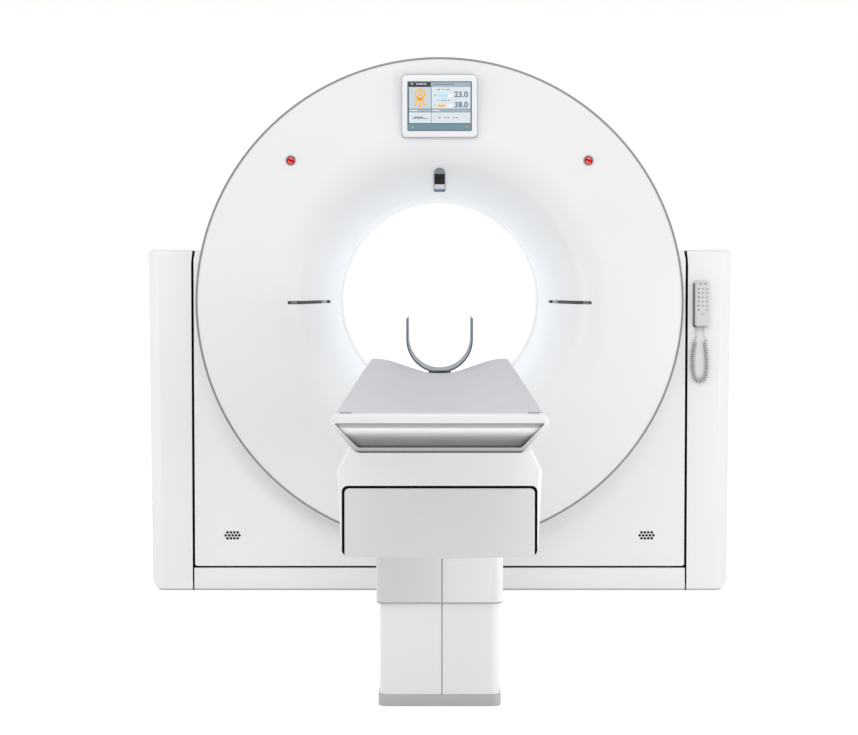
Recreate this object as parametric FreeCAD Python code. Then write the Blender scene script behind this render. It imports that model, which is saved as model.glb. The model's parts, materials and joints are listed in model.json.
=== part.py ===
"""CT scanner: a gantry that tilts between two side pillars, and a lifting table with a sliding cradle.

Millimetres. The origin is on the floor under the centre of the bore. +X is to the right as seen from the
table, +Y runs along the bore away from the table and +Z is up.
"""
import FreeCAD, Part
import math
import os

from FreeCAD import Vector

os.makedirs("parts", exist_ok=True)

# ---- covers of the gantry -------------------------------------------------------------------------------
BORE_R = 350.0              # patient bore
LINER_HALF = 100.0          # half length of the straight bore liner
THROAT_Y = 160.0            # where the bell mouth leaves the bore's radius
THROAT_ROUND = 150.0
THROAT_FLAT_COUNT = 1       # flats that make up each round stretch of the moulding
BELL_FLARE = 155.0          # from the bore to the corner between bell mouth and disc, before it is rounded
LIP_R = BORE_R + BELL_FLARE
LIP_Y = 440.0
LIP_ROUND = 120.0
LIP_FLAT_COUNT = 3
LIP_TO_SEAM = 95.0
BELL_SEAM_R = LIP_R + LIP_TO_SEAM   # where the bell mouth is joined to the disc
BELL_SEGMENTS = 16          # equal segments of the bell mouth and the liner
DISC_R = 830.0              # round front and rear covers
DISC_EDGE_Y = 400.0         # the disc's rim, ahead of the bore's middle
SKIN = 5.0                  # wall of every moulded cover
SEAM = 2.0                  # shadow gap between two covers
TRIM_WIDTH = 7.0            # metal ring on the disc's rim
TRIM_DEPTH = 3.0
TRIM_PROUD = 2.0

PLINTH_TOP_Z = 79.0
PLINTH_GAP = 7.0            # air between the plinth and the tilting housing
HOUSING_BELOW_DISC = 84.0
HOUSING_BESIDE_DISC = 17.0
HOUSING_SHOULDER_RISE = 180.0   # shoulders beside the disc, above the bore axis
HOUSING_HALF_DEPTH = 300.0
HOUSING_HALF_WIDTH = DISC_R + HOUSING_BESIDE_DISC
HOUSING_BOTTOM_Z = PLINTH_TOP_Z + PLINTH_GAP
ISO_Z = HOUSING_BOTTOM_Z + HOUSING_BELOW_DISC + DISC_R      # height of the bore axis above the floor
HOUSING_TOP_Z = ISO_Z + HOUSING_SHOULDER_RISE
SHOULDER_ROUND = 36.0
HOUSING_FOOT_ROUND = 8.0
WRAP_UNDER_DISC = 8.0       # how far the housing's round top lies inside the disc's edge
PANEL_UNDER_DISC = 30.0     # how far the flat panels reach in behind the disc

# ---- things set into the front cover --------------------------------------------------------------------
DISPLAY_RISE = 665.0        # its middle above the bore axis
DISPLAY_Z = ISO_Z + DISPLAY_RISE
DISPLAY_WIDTH = 254.0
DISPLAY_HEIGHT = 209.0
DISPLAY_ROUND = 12.0
DISPLAY_CHAMFER = 3.0
DISPLAY_PROUD = 7.0         # ahead of the lip's corner
DISPLAY_FRONT_Y = -LIP_Y - DISPLAY_PROUD
SCREEN_WIDTH = 216.0
SCREEN_HEIGHT = 166.0
SCREEN_RECESS = 1.5
SCREEN_THICKNESS = 4.0
ESTOP_X = 503.4
ESTOP_RISE = 480.7          # above the bore axis
ESTOP_Z = ISO_Z + ESTOP_RISE
ESTOP_COLLAR_R = 18.5
ESTOP_COLLAR_PROUD = 2.0
ESTOP_COLLAR_DEPTH = 26.0
ESTOP_CAP_R = 13.4
ESTOP_CAP_GAP = 0.6
ESTOP_CAP_PROUD = 8.0
ESTOP_CAP_CHAMFER = 2.5
ESTOP_STROKE = 4.0
ESTOP_STROKE_SPARE = 2.0
LASER_SLOT_TO_BORE = 29.0
LASER_SLOT_LENGTH = 137.0
LASER_SLOT_IN = BORE_R + LASER_SLOT_TO_BORE     # distance of the slot's inner end from the bore axis
LASER_SLOT_OUT = LASER_SLOT_IN + LASER_SLOT_LENGTH
LASER_SLOT_HEIGHT = 12.0
LASER_WINDOW_DEPTH = 1.0    # below the cover's surface
SENSOR_WIDTH = 39.0
SENSOR_FOOT_ROUND = 3.0
SENSOR_TO_BORE = 35.0
SENSOR_HEIGHT = 74.0
SENSOR_LOW = BORE_R + SENSOR_TO_BORE    # distance of its lower edge from the bore axis
SENSOR_HIGH = SENSOR_LOW + SENSOR_HEIGHT
SENSOR_PROUD = 6.0
SENSOR_CHIN = 24.0          # housing below the window
SENSOR_LENS_HEIGHT = 31.0
SENSOR_LENS_LOW = SENSOR_LOW + SENSOR_CHIN
SENSOR_LENS_HIGH = SENSOR_LENS_LOW + SENSOR_LENS_HEIGHT
SENSOR_LENS_PROUD = 7.5

SPEAKER_INSET = 130.0       # from the housing's side
SPEAKER_RISE = 106.0        # from the housing's underside
SPEAKER_X = HOUSING_HALF_WIDTH - SPEAKER_INSET
SPEAKER_Z = HOUSING_BOTTOM_Z + SPEAKER_RISE
SPEAKER_ROWS = (4, 5, 4)    # holes in each row of a grille
SPEAKER_PITCH = 11.8
SPEAKER_ROW_STEP = 10.3
SPEAKER_HOLE_R = 4.0
SPEAKER_R = 38.0
SPEAKER_DEPTH = 32.0
SPEAKER_MAGNET_R = 20.0

# ---- tilting frame and what turns in it -----------------------------------------------------------------
FRAME_TO_REAR = 120.0       # ring plate's front face from the housing's rear
FRAME_THICKNESS = 30.0
FRAME_TO_BORE = 65.0
FRAME_TO_DISC = 50.0
FRAME_FRONT_Y = HOUSING_HALF_DEPTH - FRAME_TO_REAR
FRAME_IN_R = BORE_R + FRAME_TO_BORE
FRAME_OUT_R = DISC_R - FRAME_TO_DISC
FRAME_ARM_ROOT = 60.0       # how far the arms run in over the ring
CHEEK_HALF_HEIGHT = 150.0
CHEEK_TO_FRONT = 150.0
CHEEK_FRONT_Y = CHEEK_TO_FRONT - HOUSING_HALF_DEPTH
CHEEK_THICKNESS = 30.0
CHEEK_TO_SKIN = 12.0
TRUNNION_R = 55.0
TRUNNION_HOLE_GAP = 6.0
TRUNNION_ROOT = 1.0         # how far the trunnion is let into its cheek
BEARING_LENGTH = 50.0
BEARING_STEP = 40.0         # bearing's bore outside the frame's
BEARING_RING_WIDTH = 64.0   # from either ring's free edge to the middle of the gap between the rings
BEARING_IN_R = FRAME_IN_R + BEARING_STEP
BEARING_RACE_R = BEARING_IN_R + BEARING_RING_WIDTH
BEARING_OUT_R = BEARING_RACE_R + BEARING_RING_WIDTH
BEARING_GAP = 2.0
DRUM_THICKNESS = 30.0
DRUM_TO_BORE = 50.0
DRUM_TO_FRAME = 40.0
DRUM_IN_R = BORE_R + DRUM_TO_BORE
DRUM_OUT_R = FRAME_OUT_R - DRUM_TO_FRAME
COLLIMATOR_GAP = 30.0       # air between the liner and the collimator
COLLIMATOR_TO_AXIS = 175.0  # from the collimator's foot up to the tube's axis
COLLIMATOR_BOTTOM = BORE_R + SKIN + COLLIMATOR_GAP
TUBE_HEIGHT = COLLIMATOR_BOTTOM + COLLIMATOR_TO_AXIS    # tube axis above the bore axis
TUBE_R = 110.0
TUBE_LENGTH = 270.0
TUBE_FLANGE_R = 135.0
TUBE_FLANGE_THICKNESS = 15.0
TUBE_NOSE_R = 70.0
TUBE_NOSE_LENGTH = 35.0
COLLIMATOR_SEAT = 66.0      # collimator's top below the tube's axis
COLLIMATOR_HALF_WIDTH = 90.0
COLLIMATOR_DEPTH = 160.0
FAN_SLOT = 20.0
DETECTOR_DROP = 470.0       # detector's face below the bore axis
DETECTOR_THICKNESS = 80.0
DETECTOR_HALF_ANGLE = 26.0
DETECTOR_DEPTH = 160.0
SIDE_UNIT_IN = 450.0        # boxes on the drum's left and right
SIDE_UNIT_WIDTH = 190.0
SIDE_UNIT_HALF_HEIGHT = 160.0
SIDE_UNIT_DEPTH = 230.0
GENERATOR_ROUND = 15.0
COOLER_FINS = 7
COOLER_FIN_DEPTH = 40.0
SLIP_RING_INSET = 40.0      # from the drum's edge
SLIP_RING_WIDTH = 90.0
SLIP_RING_OUT_R = DRUM_OUT_R - SLIP_RING_INSET
SLIP_RING_IN_R = SLIP_RING_OUT_R - SLIP_RING_WIDTH
SLIP_RING_THICKNESS = 18.0
BRUSH_GAP = 1.0
BRUSH_WIDTH = 90.0
PULLEY_R = 60.0
PULLEY_INSET_X = 140.0      # pulley's axis inside the frame's edge, sideways
PULLEY_INSET_Z = 40.0
PULLEY_X = PULLEY_INSET_X - FRAME_OUT_R
PULLEY_DROP = FRAME_OUT_R - PULLEY_INSET_Z  # pulley axis below the bore axis
PULLEY_MARGIN = 4.0
BELT_WIDTH = 22.0
BELT_THICKNESS = 5.0
BELT_GAP = 1.0
SHAFT_R = 15.0
SHAFT_GAP = 2.0
MOTOR_R = 80.0
MOTOR_LENGTH = 78.0
MOTOR_PLATE_MARGIN = 25.0
MOTOR_PLATE_RISE = 240.0    # plate's upper edge above the pulley's axis

# ---- pillars and base -----------------------------------------------------------------------------------
TILT_GAP = 10.0             # air between the housing and each pillar
PILLAR_WIDTH = 150.0
PILLAR_LEAN = 8.0           # the outer side leans in slightly towards the floor
PILLAR_IN_X = HOUSING_HALF_WIDTH + TILT_GAP
PILLAR_OUTER_X = PILLAR_IN_X + PILLAR_WIDTH
PILLAR_FOOT_X = PILLAR_OUTER_X - PILLAR_LEAN
PILLAR_TOP_Z = HOUSING_TOP_Z
PILLAR_EDGE_ROUND = 45.0    # vertical edges on the outer side
PILLAR_INNER_ROUND = 6.0
PILLAR_TOP_ROUND = 12.0
PILLAR_FOOT_ROUND = 40.0
BASE_THICKNESS = 25.0
BASE_MARGIN = 8.0           # beyond the outer faces of the stands
ANCHOR_HOLE_R = 9.0
ANCHOR_EDGE_X = 35.0        # hole's middle from the plate's edges
ANCHOR_EDGE_Y = 40.0
STAND_TO_COVER = 20.0
STAND_THICKNESS = 60.0
STAND_FOOT_HALF = 225.0
STAND_TOP_HALF = 115.0
STAND_OVER_AXIS = 110.0
STAND_WINDOW_SILL = 120.0   # above the base plate
STAND_WINDOW_DROP = 260.0   # window's top below the bore axis
STAND_WINDOW_TAPER = 40.0
TRUNNION_BEARING_OUT_R = 80.0
TRUNNION_BEARING_GAP = 0.6
GEARBOX_R = 95.0
GEARBOX_LENGTH = 30.0
TILT_MOTOR_R = 24.0
TILT_MOTOR_LENGTH = 240.0
TILT_MOTOR_OFFSET = 60.0
GEARBOX_FOOT_HALF = 20.0

# ---- handset on the right pillar ------------------------------------------------------------------------
HANDSET_INSET = 46.4        # its middle from the pillar's inner side
HANDSET_DROP = 83.0         # its lower end below the bore axis
HANDSET_X = PILLAR_IN_X + HANDSET_INSET
HANDSET_WIDTH = 51.8
HANDSET_BOTTOM_Z = ISO_Z - HANDSET_DROP
HANDSET_HEIGHT = 154.0
HANDSET_THICKNESS = 26.0
HANDSET_ROUND = 9.0
HANDSET_CHAMFER = 3.0
HOLDER_THICKNESS = 4.0
HOLDER_INSET = 6.0
HOLDER_SHELF = 16.0
HOLDER_NOTCH_GAP = 1.0
HOLDER_NOTCH_BACK = 4.0
KEY_ROWS = 7
KEY_COLUMNS = 3
KEY_PITCH_X = 14.2
KEY_PITCH_Z = 14.5
KEY_SIZE = 6.0
KEY_PROUD = 0.8
KEY_ROOT = 1.0
KEYS_TOP_MARGIN = 25.0
CORD_WIRE = 4.0             # width of the cord's jacket across its corners
CORD_SIDES = 5
CORD_CHORDS = 8             # straight stretches in one curl
CORD_COIL_R = 6.4           # centre line of the wire to the middle of the coil
CORD_CURLS = 40
CORD_RELIEF_R = 3.6
CORD_RELIEF_LENGTH = 20.0
# middle line of the hanging coil, from the handset to its holder: x from the handset's middle, y from the
# pillar's face and z from the handset's lower end
CORD_ROUTE = (
    (6.6, -17.0, -31.0),
    (9.6, -17.0, -57.0),
    (15.6, -16.0, -95.0),
    (18.1, -14.0, -137.0),
    (15.1, -12.0, -167.0),
    (8.1, -12.0, -184.0),
    (-6.4, -12.0, -191.5),
    (-20.9, -12.0, -184.0),
    (-28.4, -12.0, -167.0),
    (-31.4, -11.0, -137.0),
    (-30.9, -11.0, -95.0),
    (-24.4, -11.0, -55.0),
    (-17.4, -11.0, -31.0),
)

# ---- table ----------------------------------------------------------------------------------------------
CRADLE_DROP = 163.0         # cradle's rim below the bore axis
CRADLE_TOP_Z = ISO_Z - CRADLE_DROP
CRADLE_DEPTH = 74.0
DECK_TO_CRADLE = 48.0       # air between the table's deck and the cradle
CRADLE_BOTTOM_Z = CRADLE_TOP_Z - CRADLE_DEPTH
TABLE_DECK_Z = CRADLE_BOTTOM_Z - DECK_TO_CRADLE
TABLE_FRONT_Y = -2850.0
TABLE_REAR_Y = -1050.0
TABLE_HALF_WIDTH = 236.0
TABLE_SHOULDER_DROP = 49.0
TABLE_DEPTH = 249.0
TABLE_SAG = 5.0
TABLE_SHOULDER_Z = TABLE_DECK_Z - TABLE_SHOULDER_DROP
DECK_HALF_WIDTH = 209.0
DECK_ROUND = 8.0
SHOULDER_ROUND_TABLE = 20.0
TABLE_FOOT_HALF_WIDTH = 226.0
TABLE_FOOT_Z = TABLE_DECK_Z - TABLE_DEPTH
TABLE_FOOT_ROUND = 30.0
TABLE_BELLY_Z = TABLE_FOOT_Z - TABLE_SAG
TABLE_END_ROUND = 9.0        # slope round the edges of both ends
TABLE_WALL = 4.0
TABLE_END_WALL = 12.0
END_PANEL_HALF_WIDTH = 220.0
END_PANEL_DROP = 89.0       # its upper edge below the deck
END_PANEL_TOP_Z = TABLE_DECK_Z - END_PANEL_DROP
END_PANEL_ROUND = 10.0
END_PANEL_GAP = 5.0
END_PANEL_THICKNESS = 12.0
LUG_WIDTH = 24.0
LUG_THICKNESS = 6.0
LUG_TOP_GAP = 4.0
LUG_ROOT = 1.0              # how far the lugs are let into the panel

PEDESTAL_FRONT_Y = -2268.0
PEDESTAL_REAR_Y = -1442.0
FOOT_HALF_WIDTH = 158.0
FOOT_HEIGHT = 30.0
FOOT_WALL = 14.0
SLEEVE_WALL = 3.0
SLEEVE_ROUND = 24.0
LOWER_SLEEVE_INSET = 3.5    # lower sleeve inside the foot's outline
LOWER_SLEEVE_TOP_Z = 400.0
SLEEVE_SEAM_X = 6.0
SLEEVE_SEAM = 1.5
UPPER_SLEEVE_GAP = 5.5      # air between the two sleeves
UPPER_SLEEVE_BOTTOM_Z = 270.0
TABLE_FRAME_DROP = 75.0
TABLE_FRAME_Z = TABLE_DECK_Z - TABLE_FRAME_DROP     # underside of the lifted frame
TABLE_PLATE_THICKNESS = 15.0
TABLE_BEAM_X = 140.0
TABLE_BEAM_WIDTH = 40.0
TABLE_BEAM_WALL = 4.0
TABLE_BEAM_END_GAP = 46.0
TABLE_BASE_THICKNESS = 12.0
TABLE_ANCHOR_X = 105.0
TABLE_ANCHOR_Y = 355.0      # each way from the middle of the pedestal
TABLE_ANCHOR_R = 7.0
LIFT_CYLINDER_R = 48.0
LIFT_CYLINDER_TOP_Z = 400.0
LIFT_ROD_R = 32.0
LIFT_ROD_GAP = 1.0
LIFT_WELL_FLOOR = 20.0
LIFT_ROD_BOTTOM_Z = 270.0
LIFT_MOTOR_R = 42.0
LIFT_MOTOR_HEIGHT = 190.0
LIFT_MOTOR_OFFSET = 96.0
GUIDE_OFFSET_Y = 260.0
GUIDE_WIDTH = 110.0
GUIDE_DEPTH = 60.0
GUIDE_TOP_Z = 435.0
GUIDE_GAP = 1.0
GUIDE_WALL = 6.0
GUIDE_TUBE_BOTTOM_Z = 262.0

# ---- cradle ---------------------------------------------------------------------------------------------
CRADLE_FOOT_Y = -3404.0
CRADLE_HEAD_Y = -985.0
CRADLE_RIM_HALF = 214.0
CRADLE_RIM_DEPTH = 17.0
CRADLE_WIDE_Z = CRADLE_TOP_Z - CRADLE_RIM_DEPTH
CRADLE_WIDE_HALF = 222.0
CRADLE_BOTTOM_HALF = 178.0
CRADLE_BOTTOM_ROUND = 22.0
CRADLE_RIM_ROUND = 5.0
CAP_LENGTH = 46.0
CAP_NOSE = 4.0
CAP_POCKET_DEPTH = 26.0
CAP_BORDER_TOP = 17.0
CAP_BORDER = 10.0
CAP_POCKET_ROUND = 4.0
INSET_GAP = 0.5
INSET_LINE = (              # front of the insert: depth behind the cap's face, drop below the pocket's top
    (13.0, 0.0),
    (5.0, 6.0),
    (2.0, 10.0),
    (3.0, 17.0),
    (17.0, 60.0),
)
MATTRESS_HALF = 212.0
MATTRESS_SHOULDER_X = 174.0
MATTRESS_HOLLOW_X = 39.0
MATTRESS_HOLLOW = 45.0      # depth of the trough that the patient lies in
MATTRESS_THICKNESS = 14.0
MATTRESS_BEND_R = 200.0
MATTRESS_PROUD = 1.0
MATTRESS_EDGE_Z = CRADLE_TOP_Z + MATTRESS_PROUD
TROUGH_CLEARANCE = 80.0     # height cut free above the pad
ROLLER_R = 22.0
ROLLER_GAP = 1.0
ROLLER_HALF_LENGTH = 70.0
ROLLER_BRACKET = 8.0
ROLLER_STATIONS = (-2780.0, -2200.0, -1640.0, -1120.0)
CRADLE_MOTOR_R = 26.6
CRADLE_MOTOR_LENGTH = 150.0
CRADLE_MOTOR_Y = -2560.0
CRADLE_MOTOR_RISE = 19.0    # its axis above the frame's plate
CRADLE_MOTOR_BAR_WIDTH = 30.0
CRADLE_MOTOR_BAR_HEIGHT = 16.0

# ---- head holder ----------------------------------------------------------------------------------------
HEAD_ARC_R = 105.0
HEAD_AXIS_RISE = 58.0       # above the cradle's rim
HEAD_ARM_RISE = 67.0        # arms above the bowl's axis
HEAD_AXIS_Z = CRADLE_TOP_Z + HEAD_AXIS_RISE
HEAD_TOP_Z = HEAD_AXIS_Z + HEAD_ARM_RISE
HEAD_WALL = 6.0
HEAD_FRONT_Y = -955.0
HEAD_REAR_Y = -715.0
TONGUE_HALF_WIDTH = 35.0
TONGUE_DROP = 38.0
TONGUE_THICKNESS = 29.0
TONGUE_TOP_Z = CRADLE_TOP_Z - TONGUE_DROP
TONGUE_BOTTOM_Z = TONGUE_TOP_Z - TONGUE_THICKNESS
TONGUE_END_GAP = 25.0
TONGUE_TO_HOLDER = 2.0      # air in front of the holder's bowl

AXIS_X = Vector(1, 0, 0)
AXIS_Y = Vector(0, 1, 0)
AXIS_Z = Vector(0, 0, 1)
ISO = Vector(0, 0, ISO_Z)
FAR = 5000.0                # longer than anything, for cutting through
NEAR_HALF_ROUND = 0.5       # keeps two round corners just short of a half circle


# ---- drawing helpers ------------------------------------------------------------------------------------
def unit(vector):
    """The vector at length one."""
    return vector * (1.0 / vector.Length)


def offset(points, distance, closed):
    """Points of an outline moved to the left of its direction of travel."""
    moved = []
    last = len(points) - 1
    for i, p in enumerate(points):
        before = p - points[i - 1] if i or closed else points[1] - p
        after = points[(i + 1) % len(points)] - p if i < last or closed else before
        left_before = unit(Vector(-before.y, before.x, 0))
        left_after = unit(Vector(-after.y, after.x, 0))
        share = distance / (1 + left_before.dot(left_after))
        moved.append(p + (left_before + left_after) * share)
    return moved


def offset_radii(points, radii, distance, closed):
    """Corner radii that keep the wall even once the outline has moved to its left."""
    kept = []
    for i, p in enumerate(points):
        if not closed and i in (0, len(points) - 1):
            kept.append(0)
            continue
        turn = (p - points[i - 1]).cross(points[(i + 1) % len(points)] - p).z
        kept.append(max(radii[i] - math.copysign(distance, turn), 0) if radii[i] else 0)
    return kept


def chord_points(start, middle, end, centre, count):
    """Points that divide an arc into equal chords."""
    sweep = 2 * (start - centre).getAngle(middle - centre)
    axis = (start - centre).cross(middle - centre)
    points = []
    for i in range(count + 1):
        turn = FreeCAD.Rotation(axis, math.degrees(sweep * i / count))
        points.append(centre + turn.multVec(start - centre))
    return points


def rounded(points, radii, closed, chords=None):
    """Edges of an outline whose corners are rounded, as arcs or as a number of chords each."""
    stops = []
    for i, p in enumerate(points):
        if radii[i] == 0:
            stops.append((p, None, p))
            continue
        back = unit(points[i - 1] - p)
        ahead = unit(points[(i + 1) % len(points)] - p)
        half = back.getAngle(ahead) / 2
        reach = radii[i] / math.tan(half)
        centre = p + unit(back + ahead) * (radii[i] / math.sin(half))
        middle = centre - unit(back + ahead) * radii[i]
        stops.append((p + back * reach, (middle, centre), p + ahead * reach))
    edges = []
    for i, (start, bend, end) in enumerate(stops):
        if bend and chords and chords[i]:
            corners = chord_points(start, bend[0], end, bend[1], chords[i])
            edges += [Part.makeLine(a, b) for a, b in zip(corners, corners[1:])]
        elif bend:
            edges.append(Part.Arc(start, bend[0], end).toShape())
        if i + 1 < len(stops) or closed:
            following = stops[(i + 1) % len(stops)][0]
            if (following - end).Length > 1e-6:
                edges.append(Part.makeLine(end, following))
    return edges


def flat(pairs):
    """Outline points from pairs of numbers."""
    return [Vector(u, v, 0) for u, v in pairs]


def area(pairs, radii=0, inset=0.0):
    """Face inside a closed outline drawn anticlockwise, drawn in by inset."""
    points = flat(pairs)
    radii = [radii] * len(points) if isinstance(radii, (int, float)) else list(radii)
    radii = offset_radii(points, radii, inset, True)
    return Part.Face(Part.Wire(rounded(offset(points, inset, True), radii, True)))


def strip(pairs, radii, near, far, near_chords=(), far_chords=()):
    """Face of a wall between two distances to the left of an open line."""
    points = flat(pairs)
    radii = [0] + list(radii) + [0]
    sides = []
    for distance, chords in ((near, near_chords), (far, far_chords)):
        moved_radii = offset_radii(points, radii, distance, False)
        chords = [0] + list(chords) + [0] if chords else None
        sides.append(rounded(offset(points, distance, False), moved_radii, False, chords))
    starts = [side[0].Vertexes[0].Point for side in sides]
    ends = [side[-1].Vertexes[-1].Point for side in sides]
    caps = [Part.makeLine(starts[0], starts[1]), Part.makeLine(ends[0], ends[1])]
    return Part.Face(Part.Wire(Part.__sortEdges__(sides[0] + sides[1] + caps)))


def box(x0, x1, y0, y1, z0, z1):
    """Block between two opposite corners."""
    return Part.makeBox(x1 - x0, y1 - y0, z1 - z0, Vector(x0, y0, z0))


def rectangle(half_u, low, high):
    """Rectangle as outline pairs, centred sideways."""
    return ((-half_u, low), (half_u, low), (half_u, high), (-half_u, high))


def prism_y(face, y0, y1):
    """A face drawn in x and z, extruded along y."""
    standing = face.copy()
    standing.rotate(Vector(), AXIS_X, 90)
    standing.translate(Vector(0, y0, 0))
    return standing.extrude(Vector(0, y1 - y0, 0))


def prism_x(face, x0, x1):
    """A face drawn in y and z, extruded along x."""
    standing = face.copy()
    standing.rotate(Vector(), AXIS_X, 90)
    standing.rotate(Vector(), AXIS_Z, 90)
    standing.translate(Vector(x0, 0, 0))
    return standing.extrude(Vector(x1 - x0, 0, 0))


def prism_z(face, z0, z1):
    """A face drawn in x and y, extruded upwards."""
    lying = face.copy()
    lying.translate(Vector(0, 0, z0))
    return lying.extrude(Vector(0, 0, z1 - z0))


def spin(face):
    """A face drawn in radius and y, turned round the bore axis."""
    raised = face.copy()
    raised.translate(ISO)
    return raised.revolve(ISO, AXIS_Y, 360)


def rod(axis, radius, start, length):
    """Round bar from a start point along an axis."""
    return Part.makeCylinder(radius, length, start, axis)


def tube(axis, outer, inner, start, length):
    """Round tube from a start point along an axis."""
    return rod(axis, outer, start, length).cut(rod(axis, inner, start, length))


def bore_ring(outer, inner, y0, y1):
    """Ring round the bore axis."""
    return tube(AXIS_Y, outer, inner, Vector(0, y0, ISO_Z), y1 - y0)


def both_sides(shape):
    """The shape and its mirror image in the machine's middle plane, as one group."""
    return Part.makeCompound([shape, shape.mirror(Vector(), AXIS_X)])


def other_side(shape):
    """Mirror image in the machine's middle plane."""
    return shape.mirror(Vector(), AXIS_X)


def at_rear(shape):
    """Mirror image in the plane across the middle of the bore."""
    return shape.mirror(Vector(), AXIS_Y)


def save(name, shape):
    """Write one piece."""
    shape.exportStep("parts/" + name + ".step")


# ---- gantry covers --------------------------------------------------------------------------------------
BELL_LINE = (
    (DISC_R, -HOUSING_HALF_DEPTH - SEAM),
    (DISC_R, -DISC_EDGE_Y),
    (LIP_R, -LIP_Y),
    (BORE_R, -THROAT_Y),
    (BORE_R, -LINER_HALF),
)
BELL_ROUNDS = (0, LIP_ROUND, THROAT_ROUND)
BELL_CHORDS = (0, LIP_FLAT_COUNT, THROAT_FLAT_COUNT)
INSIDE_CHORDS = (1, 1)      # the hidden side has a single flat at each bend


def disc_face_y(radius):
    """Where the disc's sloping face lies at a distance from the bore axis."""
    return -DISC_EDGE_Y - (LIP_Y - DISC_EDGE_Y) * (DISC_R - radius) / (DISC_R - LIP_R)


def bell_layer(near, far):
    """Layer of the round cover between two depths behind its outer surface."""
    return spin(strip(BELL_LINE, BELL_ROUNDS, -near, -far, BELL_CHORDS, BELL_CHORDS))


def rim_trim():
    """Metal ring let into the edge between the disc's face and its side."""
    return bore_ring(DISC_R, DISC_R - TRIM_WIDTH, -DISC_EDGE_Y - TRIM_PROUD, -DISC_EDGE_Y + TRIM_DEPTH)


SEAM_POINT = (BELL_SEAM_R, disc_face_y(BELL_SEAM_R))


def disc_cover():
    """The round cover's disc and side wall, rebated for the rim ring."""
    wall = spin(strip(BELL_LINE[:2] + (SEAM_POINT,), (0,), 0, -SKIN))
    return wall.cut(rim_trim())


def in_segments(ring):
    """A ring round the bore axis divided into equal segments that touch."""
    step = 360.0 / BELL_SEGMENTS
    reach = BELL_SEAM_R / math.cos(math.radians(step))
    far_corner = (reach * math.cos(math.radians(step)), reach * math.sin(math.radians(step)))
    wedge = prism_y(area(((0, 0), (reach, 0), far_corner)), -FAR, FAR)
    wedge.translate(ISO)
    pieces = []
    for i in range(BELL_SEGMENTS):
        turned = wedge.copy()
        turned.rotate(ISO, AXIS_Y, step * i)
        pieces.append(ring.common(turned))
    return pieces


def bell_mouth():
    """Bell mouth from the disc to the bore liner, with its wall."""
    line = (SEAM_POINT,) + BELL_LINE[2:]
    return spin(strip(line, BELL_ROUNDS[1:], 0, -SKIN, BELL_CHORDS[1:], INSIDE_CHORDS))


def upright_slot(x0, x1, half_height):
    """Slot at the height of the bore axis, as a prism along y through the front cover."""
    outline = ((x0, ISO_Z - half_height), (x1, ISO_Z - half_height), (x1, ISO_Z + half_height),
               (x0, ISO_Z + half_height))
    return prism_y(area(outline), -FAR, 0)


def laser_slot(gap):
    """Right-hand laser slot, smaller all round by gap."""
    return upright_slot(LASER_SLOT_IN + gap, LASER_SLOT_OUT - gap, LASER_SLOT_HEIGHT / 2 - gap)


def estop_axis_point(y):
    """Point on the right emergency stop's axis."""
    return Vector(ESTOP_X, y, ESTOP_Z)


ESTOP_FACE_Y = disc_face_y(math.hypot(ESTOP_X, ESTOP_Z - ISO_Z))
ESTOP_FLOOR_Y = ESTOP_FACE_Y + ESTOP_COLLAR_DEPTH
ESTOP_CAP_BACK_Y = ESTOP_FLOOR_Y - ESTOP_STROKE - ESTOP_STROKE_SPARE


def front_cover():
    """Round cover with the two emergency-stop pockets cut through it."""
    pocket = rod(AXIS_Y, ESTOP_COLLAR_R, estop_axis_point(-LIP_Y - SKIN), 2 * SKIN + LIP_Y)
    return disc_cover().cut(pocket).cut(other_side(pocket))


def front_bell():
    """Front bell mouth with the laser slots cut through it."""
    return Part.makeCompound(in_segments(bell_mouth().cut(laser_slot(0)).cut(other_side(laser_slot(0)))))


def rear_cover():
    """Round rear cover."""
    return at_rear(spin(strip(BELL_LINE[:2] + (SEAM_POINT,), (0,), 0, -SKIN)))


def rear_bell():
    """Rear bell mouth."""
    return at_rear(Part.makeCompound(in_segments(bell_mouth())))


def laser_windows():
    """Dark windows that fill the laser slots."""
    return both_sides(bell_layer(LASER_WINDOW_DEPTH, SKIN).common(laser_slot(INSET_GAP)))


def estop_collars():
    """Cups that carry the emergency-stop buttons in the front cover."""
    proud_y = ESTOP_FACE_Y - ESTOP_COLLAR_PROUD
    cup = rod(AXIS_Y, ESTOP_COLLAR_R, estop_axis_point(proud_y), ESTOP_FLOOR_Y + SKIN - proud_y)
    well = rod(AXIS_Y, ESTOP_CAP_R + ESTOP_CAP_GAP, estop_axis_point(proud_y), ESTOP_FLOOR_Y - proud_y)
    return both_sides(cup.cut(well))


def estop_button():
    """Right emergency-stop button: a slightly domed cap on a plain barrel."""
    front_y = ESTOP_FACE_Y - ESTOP_CAP_PROUD
    barrel = rod(AXIS_Y, ESTOP_CAP_R, estop_axis_point(front_y), ESTOP_CAP_BACK_Y - front_y)
    return barrel.makeChamfer(ESTOP_CAP_CHAMFER, [barrel.Edges[i] for i in front_circle(barrel, front_y)])


def front_circle(shape, y):
    """Numbers of the round edges that lie whole in the plane at y."""
    found = []
    for i, edge in enumerate(shape.Edges):
        bounds = edge.BoundBox
        if abs(bounds.YMin - y) < 0.01 and abs(bounds.YMax - y) < 0.01:
            found.append(i)
    return found


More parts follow.
